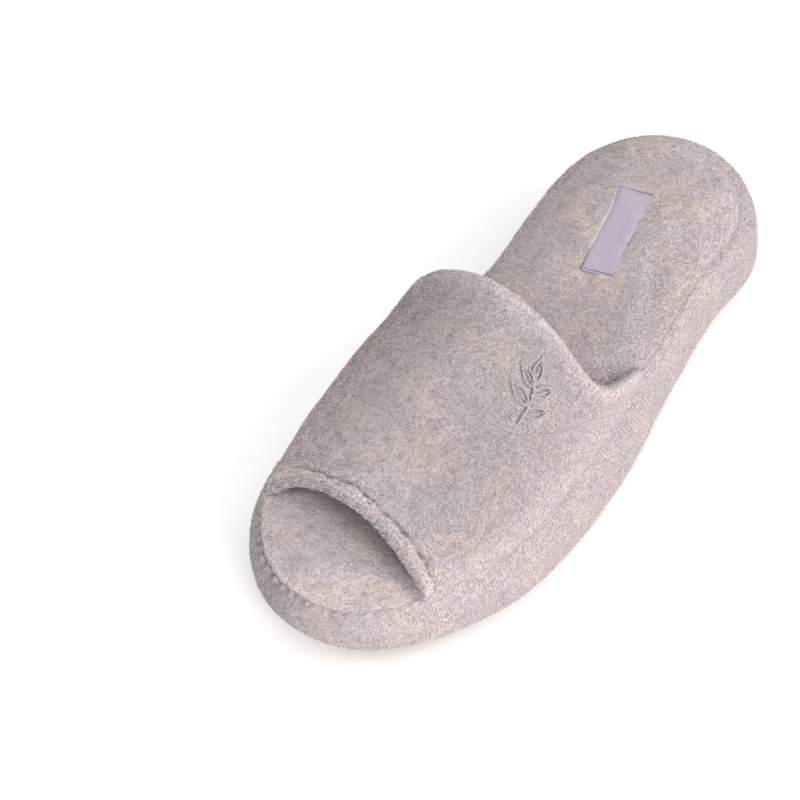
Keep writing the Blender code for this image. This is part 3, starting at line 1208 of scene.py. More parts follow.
        # Painted shade in the rim seam's groove, and a painted highlight on the gathers' crests at the inner
        # toe.
        inner_toe, behind = self.inner_toe.mask(y, x), self.behind.mask(y, x)
        seam = self.seam_shade + self.seam_shade_inner_toe * inner_toe + self.seam_shade_behind * behind
        seam *= bell(level, top + 1.5, 2.2) * broken(girth, self.seam_pitch)
        ruffle = bell(level, top - 4, 2.5) * np.clip(gathers, 0, 1) * inner_toe
        tone = self.tone + added(self.tones, y, x) - seam + self.ruffle_light * ruffle
        shown = ease(level, 1, 4) * (1 - 0.4 * ease(level, top, top + 2))
        coat = Coat(shown, self.grain + added((self.smooth_side,), y, x), self.pile)
        nap = np.tile(self.nap, (len(points), 1))
        self.terry.cover(skin, "wrapped_platform", nap, tone, {"platform_terry_pile": coat})

    def girth(self) -> float:
        """The way round the slipper's outline."""
        plan = self.last.plan(0.0, self.count)
        return float(np.linalg.norm(plan - np.roll(plan, 1, axis=0), axis=1).sum())


@dataclass
class HeelLabel:
    """A blank woven label that lies along the heel of the footbed, tacked at its two ends."""

    last: Last
    length: float = 0.0415
    width: float = 0.0120
    thickness: float = 0.0005
    lift: float = 0.0007
    from_heel: float = 0.0612
    out: float = 0.0024
    turn: float = math.radians(12.5)
    pad_crown: float = 0.0100
    wave: float = 0.00025
    sag: float = 0.00022
    edge_dip: float = 0.00035
    edge_bevel: float = 0.00012
    tack_inset: float = 0.0009
    tack_sink: float = 0.0001
    columns: int = 64
    rows: int = 20
    finish: SatinFinish = SatinFinish()
    tacks: Stitching = Stitching(pitch=0.0013, length=0.0015, thickness=0.00036, wander=0.35, seed=3)

    def place(self, along: Any, across: Any) -> tuple[Array, Array]:
        """Where a point of the label lies in plan.

        Args:
            along: Distance from its middle towards the heel.
            across: Distance from its middle line.

        Returns:
            The point's x and y in the frame.
        """
        cos, sin = math.cos(self.turn), math.sin(self.turn)
        x = self.out + across * cos - along * sin
        y = self.last.length / 2 - self.from_heel + across * sin + along * cos
        return x - self.last.centre_x, y

    def height(self, y: Array, lift: float) -> Array:
        """The height at this lift over the footbed's crown."""
        return self.last.seam_height(y) + self.last.gap + self.pad_crown + lift

    def inside(self, points: Array, margin: float) -> Array:
        """1 under the label, 0 clear of it, and soft between.

        Args:
            points: Points of the footbed.
            margin: How wide the soft edge is.

        Returns:
            One value for each point.
        """
        cos, sin = math.cos(self.turn), math.sin(self.turn)
        mid_x, mid_y = self.place(0.0, 0.0)
        dx, dy = points[..., 0] - mid_x, points[..., 1] - mid_y
        along, across = np.abs(dy * cos - dx * sin), np.abs(dx * cos + dy * sin)
        fades = (
            1 - ease(far, size / 2 - margin / 2, size / 2 + margin / 2)
            for far, size in ((along, self.length), (across, self.width))
        )
        return math.prod(fades)

    def sheet(self, lift: float) -> Array:
        """One face of the label: a slightly waved strip that follows the footbed.

        Args:
            lift: How far above the footbed it lies.

        Returns:
            Its points, rows across and columns along.
        """
        u, v = np.meshgrid(np.linspace(-1, 1, self.columns), np.linspace(-1, 1, self.rows))
        sag = self.sag * np.sin(5.1 * u + 0.7) * v**2
        x, y = self.place(u * self.length / 2, v * self.width / 2 + sag)
        edge = np.maximum(np.abs(u) ** 8, np.abs(v) ** 6)
        wave = self.wave * (np.sin(7.3 * u + 1.1) * 0.5 * np.abs(v) + 0.5 * np.sin(3.1 * u + 2.2 * v))
        return np.stack([x, y, self.height(y, lift) + wave - self.edge_dip * edge], axis=-1)

    def strip(self) -> bpy.types.Object:
        """The label's two faces and its rim, with a UV map in metres.

        Returns:
            The object, in the scene.
        """
        rows, columns = self.rows, self.columns
        count = rows * columns
        upper = grid_faces(rows, columns, wrap=False)
        faces = upper + [tuple(count + at for at in reversed(face)) for face in upper]
        rim = [*range(columns - 1)] + [row * columns + columns - 1 for row in range(rows - 1)]
        rim += [count - 1 - step for step in range(columns - 1)]
        rim += [row * columns for row in range(rows - 1, 0, -1)]
        faces += [(one, after, count + after, count + one) for one, after in zip(rim, rim[1:] + rim[:1])]
        sheets = np.stack([self.sheet(self.lift), self.sheet(self.lift - self.thickness)])
        label = skin_object("heel_label_satin", sheets, faces)
        weave = label.data.uv_layers.new(name="weave")
        across = np.tile(np.repeat(np.linspace(0, self.width, rows), columns), 2)
        along = np.tile(np.linspace(0, self.length, columns), 2 * rows)
        corners = np.empty(len(label.data.loops), np.int32)
        label.data.loops.foreach_get("vertex_index", corners)
        places = np.column_stack([across, along])[corners]
        weave.data.foreach_set("uv", places.astype(np.float32).ravel())
        return label

    def dress(self, threads: bpy.types.Material) -> None:
        """Builds the label and its tacks and puts them on the frame.

        Args:
            threads: The tacking thread's material.
        """
        label = self.strip()
        label.data.materials.append(self.finish.material())
        bevel = label.modifiers.new("edge", "BEVEL")
        bevel.width = self.edge_bevel
        bevel.segments = 2
        bevel.limit_method = "ANGLE"
        soft = evaluated(label, "heel_label")
        bpy.data.objects.remove(label)
        soft.name = "heel_label_satin"
        sewn = self.tacks.sew("label_tacks", self.tack_lines(), threads)
        for piece in (soft, sewn):
            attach(piece, "root")
            LOG.info("%s placed", piece.name)
        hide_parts("heel_label")

    def tack_lines(self) -> list[Array]:
        """A row of stitches across each end of the label.

        Returns:
            The points of the two rows.
        """
        lines = []
        across = np.linspace(-self.width / 2, self.width / 2, 24)
        for end in (-1, 1):
            x, y = self.place(end * (self.length / 2 - self.tack_inset), across)
            lines.append(np.column_stack([x, y, self.height(y, self.lift - self.tack_sink)]))
        return lines


@dataclass
class Footbed:
    """The padded footbed: a pillow with a rolled edge, blown up by cloth pressure inside its seam.

    Its zones are in shares of the length and in metres from the outline's middle, and that of its
    grain is in the frame's y.
    """

    last: Last
    terry: Terry
    label: HeelLabel
    relief: Relief = Relief(sway=0.00055, sway_size=0.022, seed=5)
    pile: Pile = Pile(spacing=0.00046, length=0.00072, lean=0.8, seed=33)
    nap: tuple[float, float, float] = (0.6, -0.7, 0.0)
    count: int = 300
    crown: float = 0.0100
    roll: float = 0.0240
    tuck: float = 0.0012
    tuck_slant: float = 0.3
    roll_levels: int = 20
    inner_rings: int = 8
    inner_share: float = 0.80
    wall_foot: float = 0.0024
    notch: float = 0.0040
    middle_share: float = 0.75
    toe_feet: tuple[float, float] = (0.106, 0.134)
    throat_feet: tuple[float, float] = (0.594, 0.566)
    pressure: float = 1.2
    frames: int = 14
    most_swell: float = 0.0008
    cloth: Mapping[str, float] = field(
        default_factory=lambda: {
            "mass": 0.15,
            "tension_stiffness": 10,
            "compression_stiffness": 10,
            "shear_stiffness": 4,
            "bending_stiffness": 0.6,
            "shrink_min": -0.015,
        }
    )
    label_dent: float = 0.0004
    grain: float = 1.7
    smooth_heel: Zone = Zone(along=(-0.09, 0.06), amount=-0.9)
    # Painted shadow of the vamp's hem on the footbed, behind the hem's line and fading towards the heel.
    hem_shade: Zone = Zone(along=(0.42, 0.26), right=(-0.035, -0.012), amount=-0.44)
    hem_line: tuple[float, float] = (-0.0908, -0.306)
    hem_fade: tuple[float, float] = (-0.007, 0.001)
    # At the inner toe the seam's painted shade deepens and a painted highlight line shows.
    inner_toe: Zone = Zone(along=(0.26, 0.12), right=(0.010, -0.015), amount=0.30)
    # Painted light and shade: lighter at the toe but not on its outer side, lighter at the heel but darker on
    # its outer side.
    tones: tuple[Zone, ...] = (
        Zone(along=(0.22, 0.13), right=(0.025, 0.005), amount=0.17),
        Zone(along=(0.90, 0.98), amount=0.12),
        Zone(along=(0.90, 0.98), right=(-0.005, 0.022), amount=-0.19),
    )
    # Painted shade on the outer side of the waist and heel, and along the seam, more of it behind the throat
    # and most on its outer side.
    side_shade: float = 0.15
    seam_shade: float = 0.04
    seam_shades: tuple[Zone, ...] = (
        Zone(along=(0.58, 0.64), amount=0.10),
        Zone(along=(0.58, 0.64), right=(0.0, 0.02), amount=0.20),
    )
    seam_pitch: float = 0.0085
    # A broken painted highlight line at the inner toe, as on a ruffle.
    ruffle_pitch: float = 0.0051
    ruffle_rise: float = 0.0034
    profile: tuple[Step, ...] = (
        Step(height=0.00, inward=0.00),
        Step(height=0.22, inward=0.01),
        Step(height=0.44, inward=0.07),
        Step(height=0.64, inward=0.19),
        Step(height=0.82, inward=0.40),
        Step(height=0.94, inward=0.68),
        Step(height=1.00, inward=1.00),
    )

    def edge(self) -> Array:
        """How far in the footbed's edge lies: at the seam, or inside the vamp's wall.

        Returns:
            The inset of each point round the footbed.
        """
        plan = self.last.plan(self.last.seam_inset, self.count)
        along = self.last.share(plan[:, 1])
        lateral = plan[:, 0] + self.last.centre_x > 0
        toe = np.where(lateral, *self.toe_feet)
        throat = np.where(lateral, *self.throat_feet)
        near = self.notch / self.last.length
        inside = ease(along, toe, toe + near) * (1 - ease(along, throat - near, throat))
        outline = self.last.plan(0.0, self.count)
        return self.last.rim_inset(outline[:, 1]) + inside * self.wall_foot

    def rings(self) -> Array:
        """Rings of points from the seam over the rolled edge and in to the middle line.

        Returns:
            The points, one row for each ring.
        """
        edge = self.edge()
        high, inward = profile_curves(self.profile)
        rings = [self.ring(edge + self.tuck_slant * drop, -drop / self.crown) for drop in (self.tuck, 0.0)]
        for share in np.linspace(0, 1, self.roll_levels)[1:]:
            rings.append(self.ring(edge + self.roll * float(inward(share)), float(high(share))))
        last_ring = rings[-1]
        turn = np.arange(self.count)
        across = (last_ring + last_ring[-turn % self.count])[: self.count // 2 + 1] / 2
        ends = across[[0, -1], 1]
        low, high_end = ends.mean() + self.middle_share * (ends - ends.mean())
        middle = last_ring.copy()
        middle[:, 1] = low + (high_end - low) * np.minimum(turn, self.count - turn) / (self.count / 2)
        middle[:, 0] = np.interp(middle[:, 1], across[:, 1], across[:, 0])
        for share in np.linspace(0, self.inner_share, self.inner_rings + 1)[1:]:
            ring = last_ring + (middle - last_ring) * share
            ring[:, 2] = self.height(ring[:, 1], 1.0)
            rings.append(ring)
        return np.array(rings)

    def height(self, y: Any, share: float) -> Array:
        """Height of the footbed at a share of its crown."""
        return self.last.seam_height(y) + self.last.gap + share * self.crown

    def ring(self, inset: Array, share: float) -> Array:
        """One ring of points at a share of the crown's height."""
        plan = self.last.plan(inset, self.count)
        return np.column_stack([plan, self.height(plan[:, 1], share)])

    def swell(self, skin: bpy.types.Object, held: Array) -> None:
        """Lets cloth pressure blow the pillow up inside its held seam.

        Args:
            skin: The pillow's skin, which takes the new shape.
            held: How firmly each point is held, from 0 to 1.
        """
        rest = points_of(skin)
        group = skin.vertex_groups.new(name="seam")
        for number in np.nonzero(held > 0)[0]:
            group.add([int(number)], float(held[number]), "REPLACE")
        swell = skin.modifiers.new("swell", "CLOTH")
        settings = swell.settings
        settings.vertex_group_mass = "seam"
        settings.use_pressure = True
        settings.uniform_pressure_force = self.pressure
        for key, value in self.cloth.items():
            setattr(settings, key, value)
        settings.effector_weights.gravity = 0
        swell.collision_settings.use_collision = False
        scene = bpy.context.scene
        swell.point_cache.frame_end = self.frames
        for number in range(1, self.frames + 1):
            scene.frame_set(number)
        graph = bpy.context.evaluated_depsgraph_get()
        blown = points_of(skin.evaluated_get(graph))
        skin.modifiers.remove(swell)
        skin.vertex_groups.clear()
        scene.frame_set(1)
        shift = blown - rest
        reach = np.linalg.norm(shift, axis=1, keepdims=True)
        shift *= np.minimum(1.0, self.most_swell / np.maximum(reach, 1e-9))
        set_points(skin, rest + shift)

    def dress(self) -> None:
        """Builds the pillow and covers it."""
        rings = self.rings()
        skin = loft("footbed_terry", rings)
        level = np.repeat(np.arange(len(rings)), self.count)
        self.swell(skin, 1 - ease(level, 1.5, 4))
        finer = skin.modifiers.new("finer", "SUBSURF")
        finer.levels = finer.render_levels = 1
        fine = evaluated(skin, "footbed_fine")
        bpy.data.objects.remove(skin)
        fine.name = fine.data.name = "footbed_terry"
        points = points_of(fine)
        labelled = self.label.inside(points, 0.002)
        rise = points[:, 2] - self.height(points[:, 1], 0.0)
        moved = ease(rise, 0.0005, 0.0035) * (self.relief.at(points) * (1 - 0.7 * labelled) - self.terry.sink)
        moved -= self.label_dent * labelled
        set_points(fine, points + normals_of(fine) * moved[:, None])
        along = self.last.share(points[:, 1])
        shown = ease(rise, -0.0006, 0.0012) * (1 - self.label.inside(points, 0.0012))
        grain = self.grain + added((self.smooth_heel,), points[:, 1], points[:, 0])
        coat = Coat(shown, grain, self.pile)
        nap = np.tile(self.nap, (len(points), 1))
        tone = self.painted_light_at(points, along, rise)
        self.terry.cover(fine, "insole", nap, tone, {"footbed_terry_pile": coat})

    def painted_light_at(self, points: Array, along: Array, rise: Array) -> Array:
        """The painted light and shade of the terry: lighter at the toe and the heel, darker on the outer
        side, a painted shadow under the vamp's hem, painted shade along the seam and a painted highlight line
        at the inner toe.

        Args:
            points: The skin's points.
            along: Their shares of the length.
            rise: Their heights over the seam.

        Returns:
            One tone for each point.
        """
        right = points[:, 0] + self.last.centre_x
        # Painted light and shade by zone, the painted shadow behind the hem's line, and painted shade on the
        # outer side.
        start, slope = self.hem_line
        hem = ease(points[:, 1] - (start + slope * right), *self.hem_fade)
        tone = 1.0 + added(self.tones, along, right) + hem * added((self.hem_shade,), along, right)
        tone -= self.side_shade * ease(right, 0.010, 0.030) * bell(along, 0.68, 0.12)
        # Painted shade along the seam, broken along its length.
        run = points[:, 1] - points[:, 0]
        seam = (1 - ease(rise, 0.0002, 0.0022)) * broken(run, self.seam_pitch)
        inner_toe = added((self.inner_toe,), along, right)
        tone -= seam * (self.seam_shade + inner_toe + added(self.seam_shades, along, right))
        # A painted highlight line at the inner toe, as on a ruffle.
        ruffle = bell(rise, self.ruffle_rise, 0.0014) * broken(run, self.ruffle_pitch)
        return tone + ruffle * inner_toe


class Crease(NamedTuple):
    """A soft ridge or trough of the vamp: where, how long and wide, which way, how high."""

    along: float
    arch: float
    length: float
    width: float
    turn: float
    rise: float


class Edge(NamedTuple):
    """Where the vamp ends, as shares of the length, at its ridge and at its two feet.

    The greater the power, the lower down the flanks the edge turns towards its feet.
    """

    ridge: float
    lateral: float
    medial: float
    power: int


class Flank(NamedTuple):
    """Flatness of one side of the arch at the vamp's two ends: 1 is an ellipse, more is flatter."""

    toe: float
    throat: float


class Measure(Enum):
    """What places a band of painted light or shade on the vamp; across is 1 at the outer foot and -1 at the
    inner.
    """

    ACROSS = "across"
    FROM_TOE = "from the toe edge"
    FROM_THROAT = "from the throat"


class Band(NamedTuple):
    """A soft band of painted light or shade on the vamp's terry: where, how wide and how much."""

    by: Measure
    middle: float
    width: float
    amount: float


class Grid(NamedTuple):
    """The vamp's places: angles of the arch by rows from the toe edge to the throat.

    It has how far each place lies from both edges, the wall there and how free it is of the
    stitched feet, and the outside's points with the directions outwards and towards the heel.
    """

    arches: Array
    rows: Array
    gone: Array
    left: Array
    wall: Array
    free: Array
    point: Array
    out: Array
    back: Array


class Hem(NamedTuple):
    """The turned hem at each place: its rope, and how plain the stitch line behind it is."""

    wander: Array
    behind: Array
    plain: Array
    strand: Array


@dataclass
class Vamp:
    """The padded vamp: an arch of terry with a turned hem at the toe and a plump rolled throat.

    The zones of its flanks are in the cosine of the arch's angle: 1 at the outer foot, -1 at the
    inner.
    """

    last: Last
    terry: Terry
    relief: Relief = Relief(sway=0.00060, sway_size=0.020, seed=8)
    inner_relief: Relief = Relief(sway=0.0006, seed=12)
    pile: Pile = Pile(spacing=0.00039, width=0.00020, seed=45)
    lining_pile: Pile = Pile(spacing=0.00055, seed=46)
    toe_height: float = 0.0300
    throat_height: float = 0.0570
    ridge_medial: float = 0.0028
    wall: float = 0.0050
    wall_foot: float = 0.0024
    pressed_share: float = 0.35
    hem_width: float = 0.0026
    hem_step: float = 0.0008
    hem_groove: float = 0.0008
    hem_puff: float = 0.0005
    hem_rope: float = 0.00032
    hem_twist: float = 0.0019
    hem_lip: float = 0.0008
    stitch_pitch: float = 0.155
    hem_rows: int = 30
    hem_reach: float = 0.009
    stitch_press: float = 0.0004
    worn: float = 0.50
    throat_roll: float = 0.0011
    tuck: float = 0.0010
    arches: int = 170
    rows: int = 104
    roll_steps: int = 9
    arc: float = 0.048
    # Painted light: lighter low on the outer flank and over the inner flank.
    flanks: tuple[Zone, ...] = (Zone(along=(0.90, 1.0), amount=0.20), Zone(along=(-0.35, -0.90), amount=0.13))
    # Painted light and shade in bands: darker across the outer flank, lighter at the throat's edge, on the
    # hem's edge and just behind the hem.
    bands: tuple[Band, ...] = (
        Band(by=Measure.ACROSS, middle=0.64, width=0.26, amount=-0.15),
        Band(by=Measure.FROM_THROAT, middle=0.0, width=0.0035, amount=0.16),
        Band(by=Measure.FROM_TOE, middle=0.0009, width=0.0020, amount=0.22),
        Band(by=Measure.FROM_TOE, middle=0.010, width=0.012, amount=0.08),
    )
    grain: float = 1.8
    grain_flank: float = -1.35
    grain_hem: float = 1.4
    # Painted shade near the throat on the inner side, in the seam at the outer foot, across the hem's strands
    # and in its stitch line.
    ridge_shade: float = 0.13
    foot_shade: float = 0.16
    strand_shade: float = 0.20
    stitch_shade: float = 0.30
    # Painted highlight on the throat's roll, painted shade on the toe edge's roll and inside the lining.
    painted_throat_light: float = 1.15
    painted_toe_shade: float = 0.86
    painted_lining_shade: float = 0.60
    lateral_flank: Flank = Flank(toe=1.12, throat=1.09)
    medial_flank: Flank = Flank(toe=1.14, throat=0.96)
    toe_edge: Edge = Edge(ridge=0.128, lateral=0.106, medial=0.134, power=2)
    throat_edge: Edge = Edge(ridge=0.477, lateral=0.594, medial=0.566, power=27)
    creases: tuple[Crease, ...] = (
        Crease(along=0.386, arch=0.366, length=0.007, width=0.0035, turn=70, rise=-0.0009),
        Crease(along=0.385, arch=0.330, length=0.009, width=0.0030, turn=75, rise=0.0008),
        Crease(along=0.352, arch=0.235, length=0.016, width=0.0045, turn=70, rise=-0.0009),
        Crease(along=0.325, arch=0.225, length=0.018, width=0.0060, turn=70, rise=0.0006),
        Crease(along=0.350, arch=0.120, length=0.016, width=0.0050, turn=85, rise=-0.0006),
        Crease(along=0.180, arch=0.770, length=0.014, width=0.0022, turn=60, rise=-0.0006),
        Crease(along=0.195, arch=0.740, length=0.012, width=0.0020, turn=62, rise=0.0004),
        Crease(along=0.165, arch=0.500, length=0.030, width=0.0050, turn=88, rise=-0.0006),
        Crease(along=0.450, arch=0.200, length=0.014, width=0.0060, turn=30, rise=-0.0006),
    )

    def edge_at(self, edge: Edge, arch: Any) -> Array:
        """Where an edge of the vamp runs.

        Args:
            edge: The edge.
            arch: Angles of the arch, 0 at the outer foot and pi at the inner.

        Returns:
            Its y at each angle.
        """
        across = np.cos(arch)
        outer = np.clip(across, 0, 1) ** edge.power
        inner = np.clip(-across, 0, 1) ** edge.power
        share = edge.ridge + (edge.lateral - edge.ridge) * outer + (edge.medial - edge.ridge) * inner
        return self.last.length * (share - 0.5)

    def along(self, y: Any) -> Array:
        """The share of the way from the toe edge's ridge to the throat's."""
        low = self.edge_at(self.toe_edge, math.pi / 2)
        return (y - low) / (self.edge_at(self.throat_edge, math.pi / 2) - low)

    def point(self, y: Array, arch: Array) -> Array:
        """Points of the vamp's outside.

        Args:
            y: Places along the slipper.
            arch: Angles of the arch.

        Returns:
            The points in the frame.
        """
        along = self.along(y)
        rise = self.toe_height + (self.throat_height - self.toe_height) * along
        inset = self.last.seam_inset + self.last.gap
        right = self.last.seam_x(y, Side.LATERAL, inset)
        left = self.last.seam_x(y, Side.MEDIAL, inset)
        outer, inner = self.lateral_flank, self.medial_flank
        flats = [flank.toe + (flank.throat - flank.toe) * along for flank in (outer, inner)]
        flatness = np.where(np.cos(arch) > 0, *flats)
        across = np.sign(np.cos(arch)) * np.abs(np.cos(arch)) ** flatness
        up = np.clip(np.sin(arch), 0, 1) ** flatness
        x = (right + left) / 2 + (right - left) / 2 * across - self.ridge_medial * up**2
        return np.stack([x, y + 0 * arch, self.last.seam_height(y) + self.last.gap + rise * up], axis=-1)

    def frames(self, y: Array, arch: Array) -> tuple[Array, Array, Array]:
        """Points of the outside, with the directions outwards and towards the heel.

        Args:
            y: Places along the slipper.
            arch: Angles of the arch.

        Returns:
            The points and the two directions at each.
        """
        low = np.maximum(arch - 0.03, 0.0)
        high = np.minimum(arch + 0.03, math.pi)
        heelward = unit(self.point(y + 0.0005, arch) - self.point(y - 0.0005, arch))
        upward = self.point(y, high) - self.point(y, low)
        return self.point(y, arch), unit(np.cross(heelward, upward)), heelward

    def folds(self, y: Array, arch: Array) -> Array:
        """How far the creases lift or lower the outside.

        Args:
            y: Places along the slipper.
            arch: Angles of the arch.

        Returns:
            The distance outwards at each place.
        """
        moved = np.zeros_like(y)
        for crease in self.creases:
            dy = y - self.last.length * (crease.along - 0.5)
            da = (arch - math.pi * crease.arch) * self.arc
            turn = math.radians(crease.turn)
            run = dy * math.cos(turn) + da * math.sin(turn)
            off = -dy * math.sin(turn) + da * math.cos(turn)
            moved += crease.rise * np.exp(-((run / crease.length) ** 2) - (off / crease.width) ** 2)
        return moved

    @cached_property
    def grid(self) -> Grid:
        """The places from the outer foot over the ridge to the inner foot, closest near the hem.

        Returns:
            The grid.
        """
        arch = np.linspace(0, math.pi, self.arches + 1)[:, None]
        free = ease(np.sin(arch), 0.0, self.pressed_share)
        wall = self.wall_foot + (self.wall - self.wall_foot) * free
        toe = self.edge_at(self.toe_edge, arch) + wall / 2
        throat = self.edge_at(self.throat_edge, arch) - wall / 2
        reach, others = self.hem_reach, self.rows - self.hem_rows
        near = np.concatenate([np.linspace(0, reach, self.hem_rows), np.full(others, reach)])
        far = np.concatenate([np.zeros(self.hem_rows), np.linspace(0, 1, others + 1)[1:]])
        rows = toe + near + far * (throat - toe - reach)
        arches = arch + 0 * rows
        return Grid(arches, rows, rows - toe, throat - rows, wall, free, *self.frames(rows, arches))

    @cached_property
    def hem(self) -> Hem:
        """The hem's rope and its stitch line.

        Returns:
            The hem at each place of the grid.
        """
        at = self.grid
        wander = 0.0004 * np.sin(at.arches * 9 + 1.0) + 0.0003 * np.sin(at.arches * 27)
        slant = at.gone / self.hem_twist + at.arches * 9.0 + 0.5 * np.sin(at.arches * 23)
        strand = np.sin(2 * math.pi * slant) * bell(at.gone, 0.0010, 0.0018)
        plain = broken(at.arches, self.stitch_pitch)
        return Hem(wander, at.gone - self.hem_width - wander, plain, strand)

    def raised(self) -> Array:
        """How far the outside stands off the form: hem, stitch line, plump throat and creases.

        Returns:
            The distance outwards at each place.
        """
        at, hem = self.grid, self.hem
        lip = self.hem_lip
        step = np.clip(1 - ((at.gone - lip) / (self.hem_width - lip + hem.wander)) ** 4, 0, 1)
        groove = self.hem_groove * hem.plain * bell(hem.behind, 0.0005, 0.0006)
        puff = self.hem_puff * hem.plain * bell(hem.behind, 0.0024, 0.0014)
        plump = self.throat_roll * (1 - ease(at.left, 0.0, 0.015))
        moved = self.hem_step * step - groove + puff + plump + self.hem_rope * hem.strand
        return at.free * (moved + self.relief.at(at.point) + self.folds(at.rows, at.arches))

    def light(self) -> Array:
        """The painted light and shade of the outside's terry: lighter low flanks, throat edge, hem edge and
        the strip behind the hem; painted shade on the outer flank, near the throat on the inner side, in the
        outer foot's seam, across the hem's strands and in its stitch line.

        Returns:
            One tone for each place.
        """
        at, hem = self.grid, self.hem
        across = np.cos(at.arches)
        measures = {Measure.ACROSS: across, Measure.FROM_TOE: at.gone, Measure.FROM_THROAT: at.left}
        light = 1.0 + added(self.flanks, across, at.left)
        for band in self.bands:
            light += band.amount * bell(measures[band.by], band.middle, band.width)
        # Painted shade near the throat, at the outer foot's seam, across the hem's strands and in its stitch
        # line.
        light -= self.ridge_shade * bell(at.left, 0.012, 0.022) * ease(across, 0.45, -0.05)
        light -= self.foot_shade * bell(at.arches, 0.0, 0.045) * broken(at.rows, 0.021)
        stitch_line = hem.plain * bell(hem.behind, 0.0005, 0.0007)
        return light - self.strand_shade * hem.strand - self.stitch_shade * stitch_line

    def roll(self, one: Array, other: Array, way: Array) -> Array:
        """A rounded edge from one face of the wall to the other.

        Args:
            one: The points where it starts.
            other: The points where it ends.
            way: Which way it bulges at each.

        Returns:
            The points, a column for each step.
        """
        middle, half = (one + other) / 2, (one - other) / 2
        reach = np.linalg.norm(half, axis=-1)[:, None]
        turns = np.linspace(0, math.pi, self.roll_steps + 2)[1:-1]
        steps = [middle + half * math.cos(turn) + way * reach * math.sin(turn) for turn in turns]
        return np.stack(steps, axis=1)

    def loops(self) -> tuple[Array, ...]:
        """Closed sections of the wall: outside, throat, lining, toe edge.

        Returns:
            The points, how much pile each has outside and inside, its nap and its painted light and shade.
        """
        at = self.grid
        outside = at.point + at.out * (self.raised() - self.terry.sink)[..., None]
        inside = at.point - at.out * (at.wall + at.free * self.inner_relief.at(at.point))[..., None]
        throat = self.roll(outside[:, -1], inside[:, -1], at.back[:, -1])
        toe = self.roll(inside[:, 0], outside[:, 0], -at.back[:, 0])
        loops = np.concatenate([outside, throat, inside[:, ::-1], toe], axis=1)
        loops[[0, -1], :, 2] -= self.tuck
        hemmed = bell(at.gone, 0.0, 0.0036)[..., None]
        run = unit(np.gradient(at.point, axis=0))
        nap = (1 - hemmed) * (-0.75 * at.back - 0.65 * run) + 1.5 * hemmed * run
        edge_naps = [np.repeat(nap[:, [end]], self.roll_steps, axis=1) for end in (-1, 0)]
        naps = np.concatenate([nap, edge_naps[0], nap[:, ::-1], edge_naps[1]], axis=1)
        ones = np.ones_like(at.rows)
        edge = np.ones((len(ones), self.roll_steps))
        seen = 0.30 + 0.55 * np.maximum(bell(at.gone, 0.0, 0.008), bell(at.left, 0.0, 0.020))
        outer = np.concatenate([ones, edge, 0 * ones, edge], axis=1)
        lining = np.concatenate([0 * ones, 0 * edge, seen[:, ::-1], 0 * edge], axis=1)
        # Painted shade inside the lining, less of it near the throat's opening; painted light and shade on
        # the throat and toe rolls.
        dark = self.painted_lining_shade + 0.3 * bell(at.left, 0.0, 0.012)
        tones = [self.light(), self.painted_throat_light * edge, dark[:, ::-1], self.painted_toe_shade * edge]
        return loops, outer, lining, naps, np.concatenate(tones, axis=1)

    def dress(self, clear_of: Callable[[Array], Array]) -> None:
        """Builds the vamp and covers it.

        Args:
            clear_of: How much pile a point loses to the stitching, from 0 to 1.
        """
        loops, outer, lining, nap, tone = self.loops()
        count = loops.shape[1]
        faces = grid_faces(len(loops), count)
        faces += [tuple(range(count)), tuple((len(loops) - 1) * count + at for at in range(count))]
        skin = skin_object("vamp_terry", loops, faces)
        pressed = clear_of(points_of(skin))
        set_points(skin, points_of(skin) - normals_of(skin) * (self.stitch_press * pressed)[:, None])
        points = points_of(skin)
        near_hem = bell(points[:, 1] - self.edge_at(self.toe_edge, math.pi / 2), -0.001, 0.007)
        flank = ease(points[:, 0], 0.0, 0.045)
        grain = self.grain + self.grain_flank * flank + self.grain_hem * near_hem
        coats = {
            "vamp_terry_pile": Coat(outer.ravel() * (1 - self.worn * pressed), grain, self.pile),
            "vamp_lining_pile": Coat(lining.ravel(), grain, self.lining_pile),
        }
        self.terry.cover(skin, "upper", nap.reshape(-1, 3), tone.ravel(), coats)


class Leaf(NamedTuple):
    """A leaf of the sprig: where it leaves the stem, which way, and its size as shares."""

    stem: float
    turn: float
    length: float
    width: float


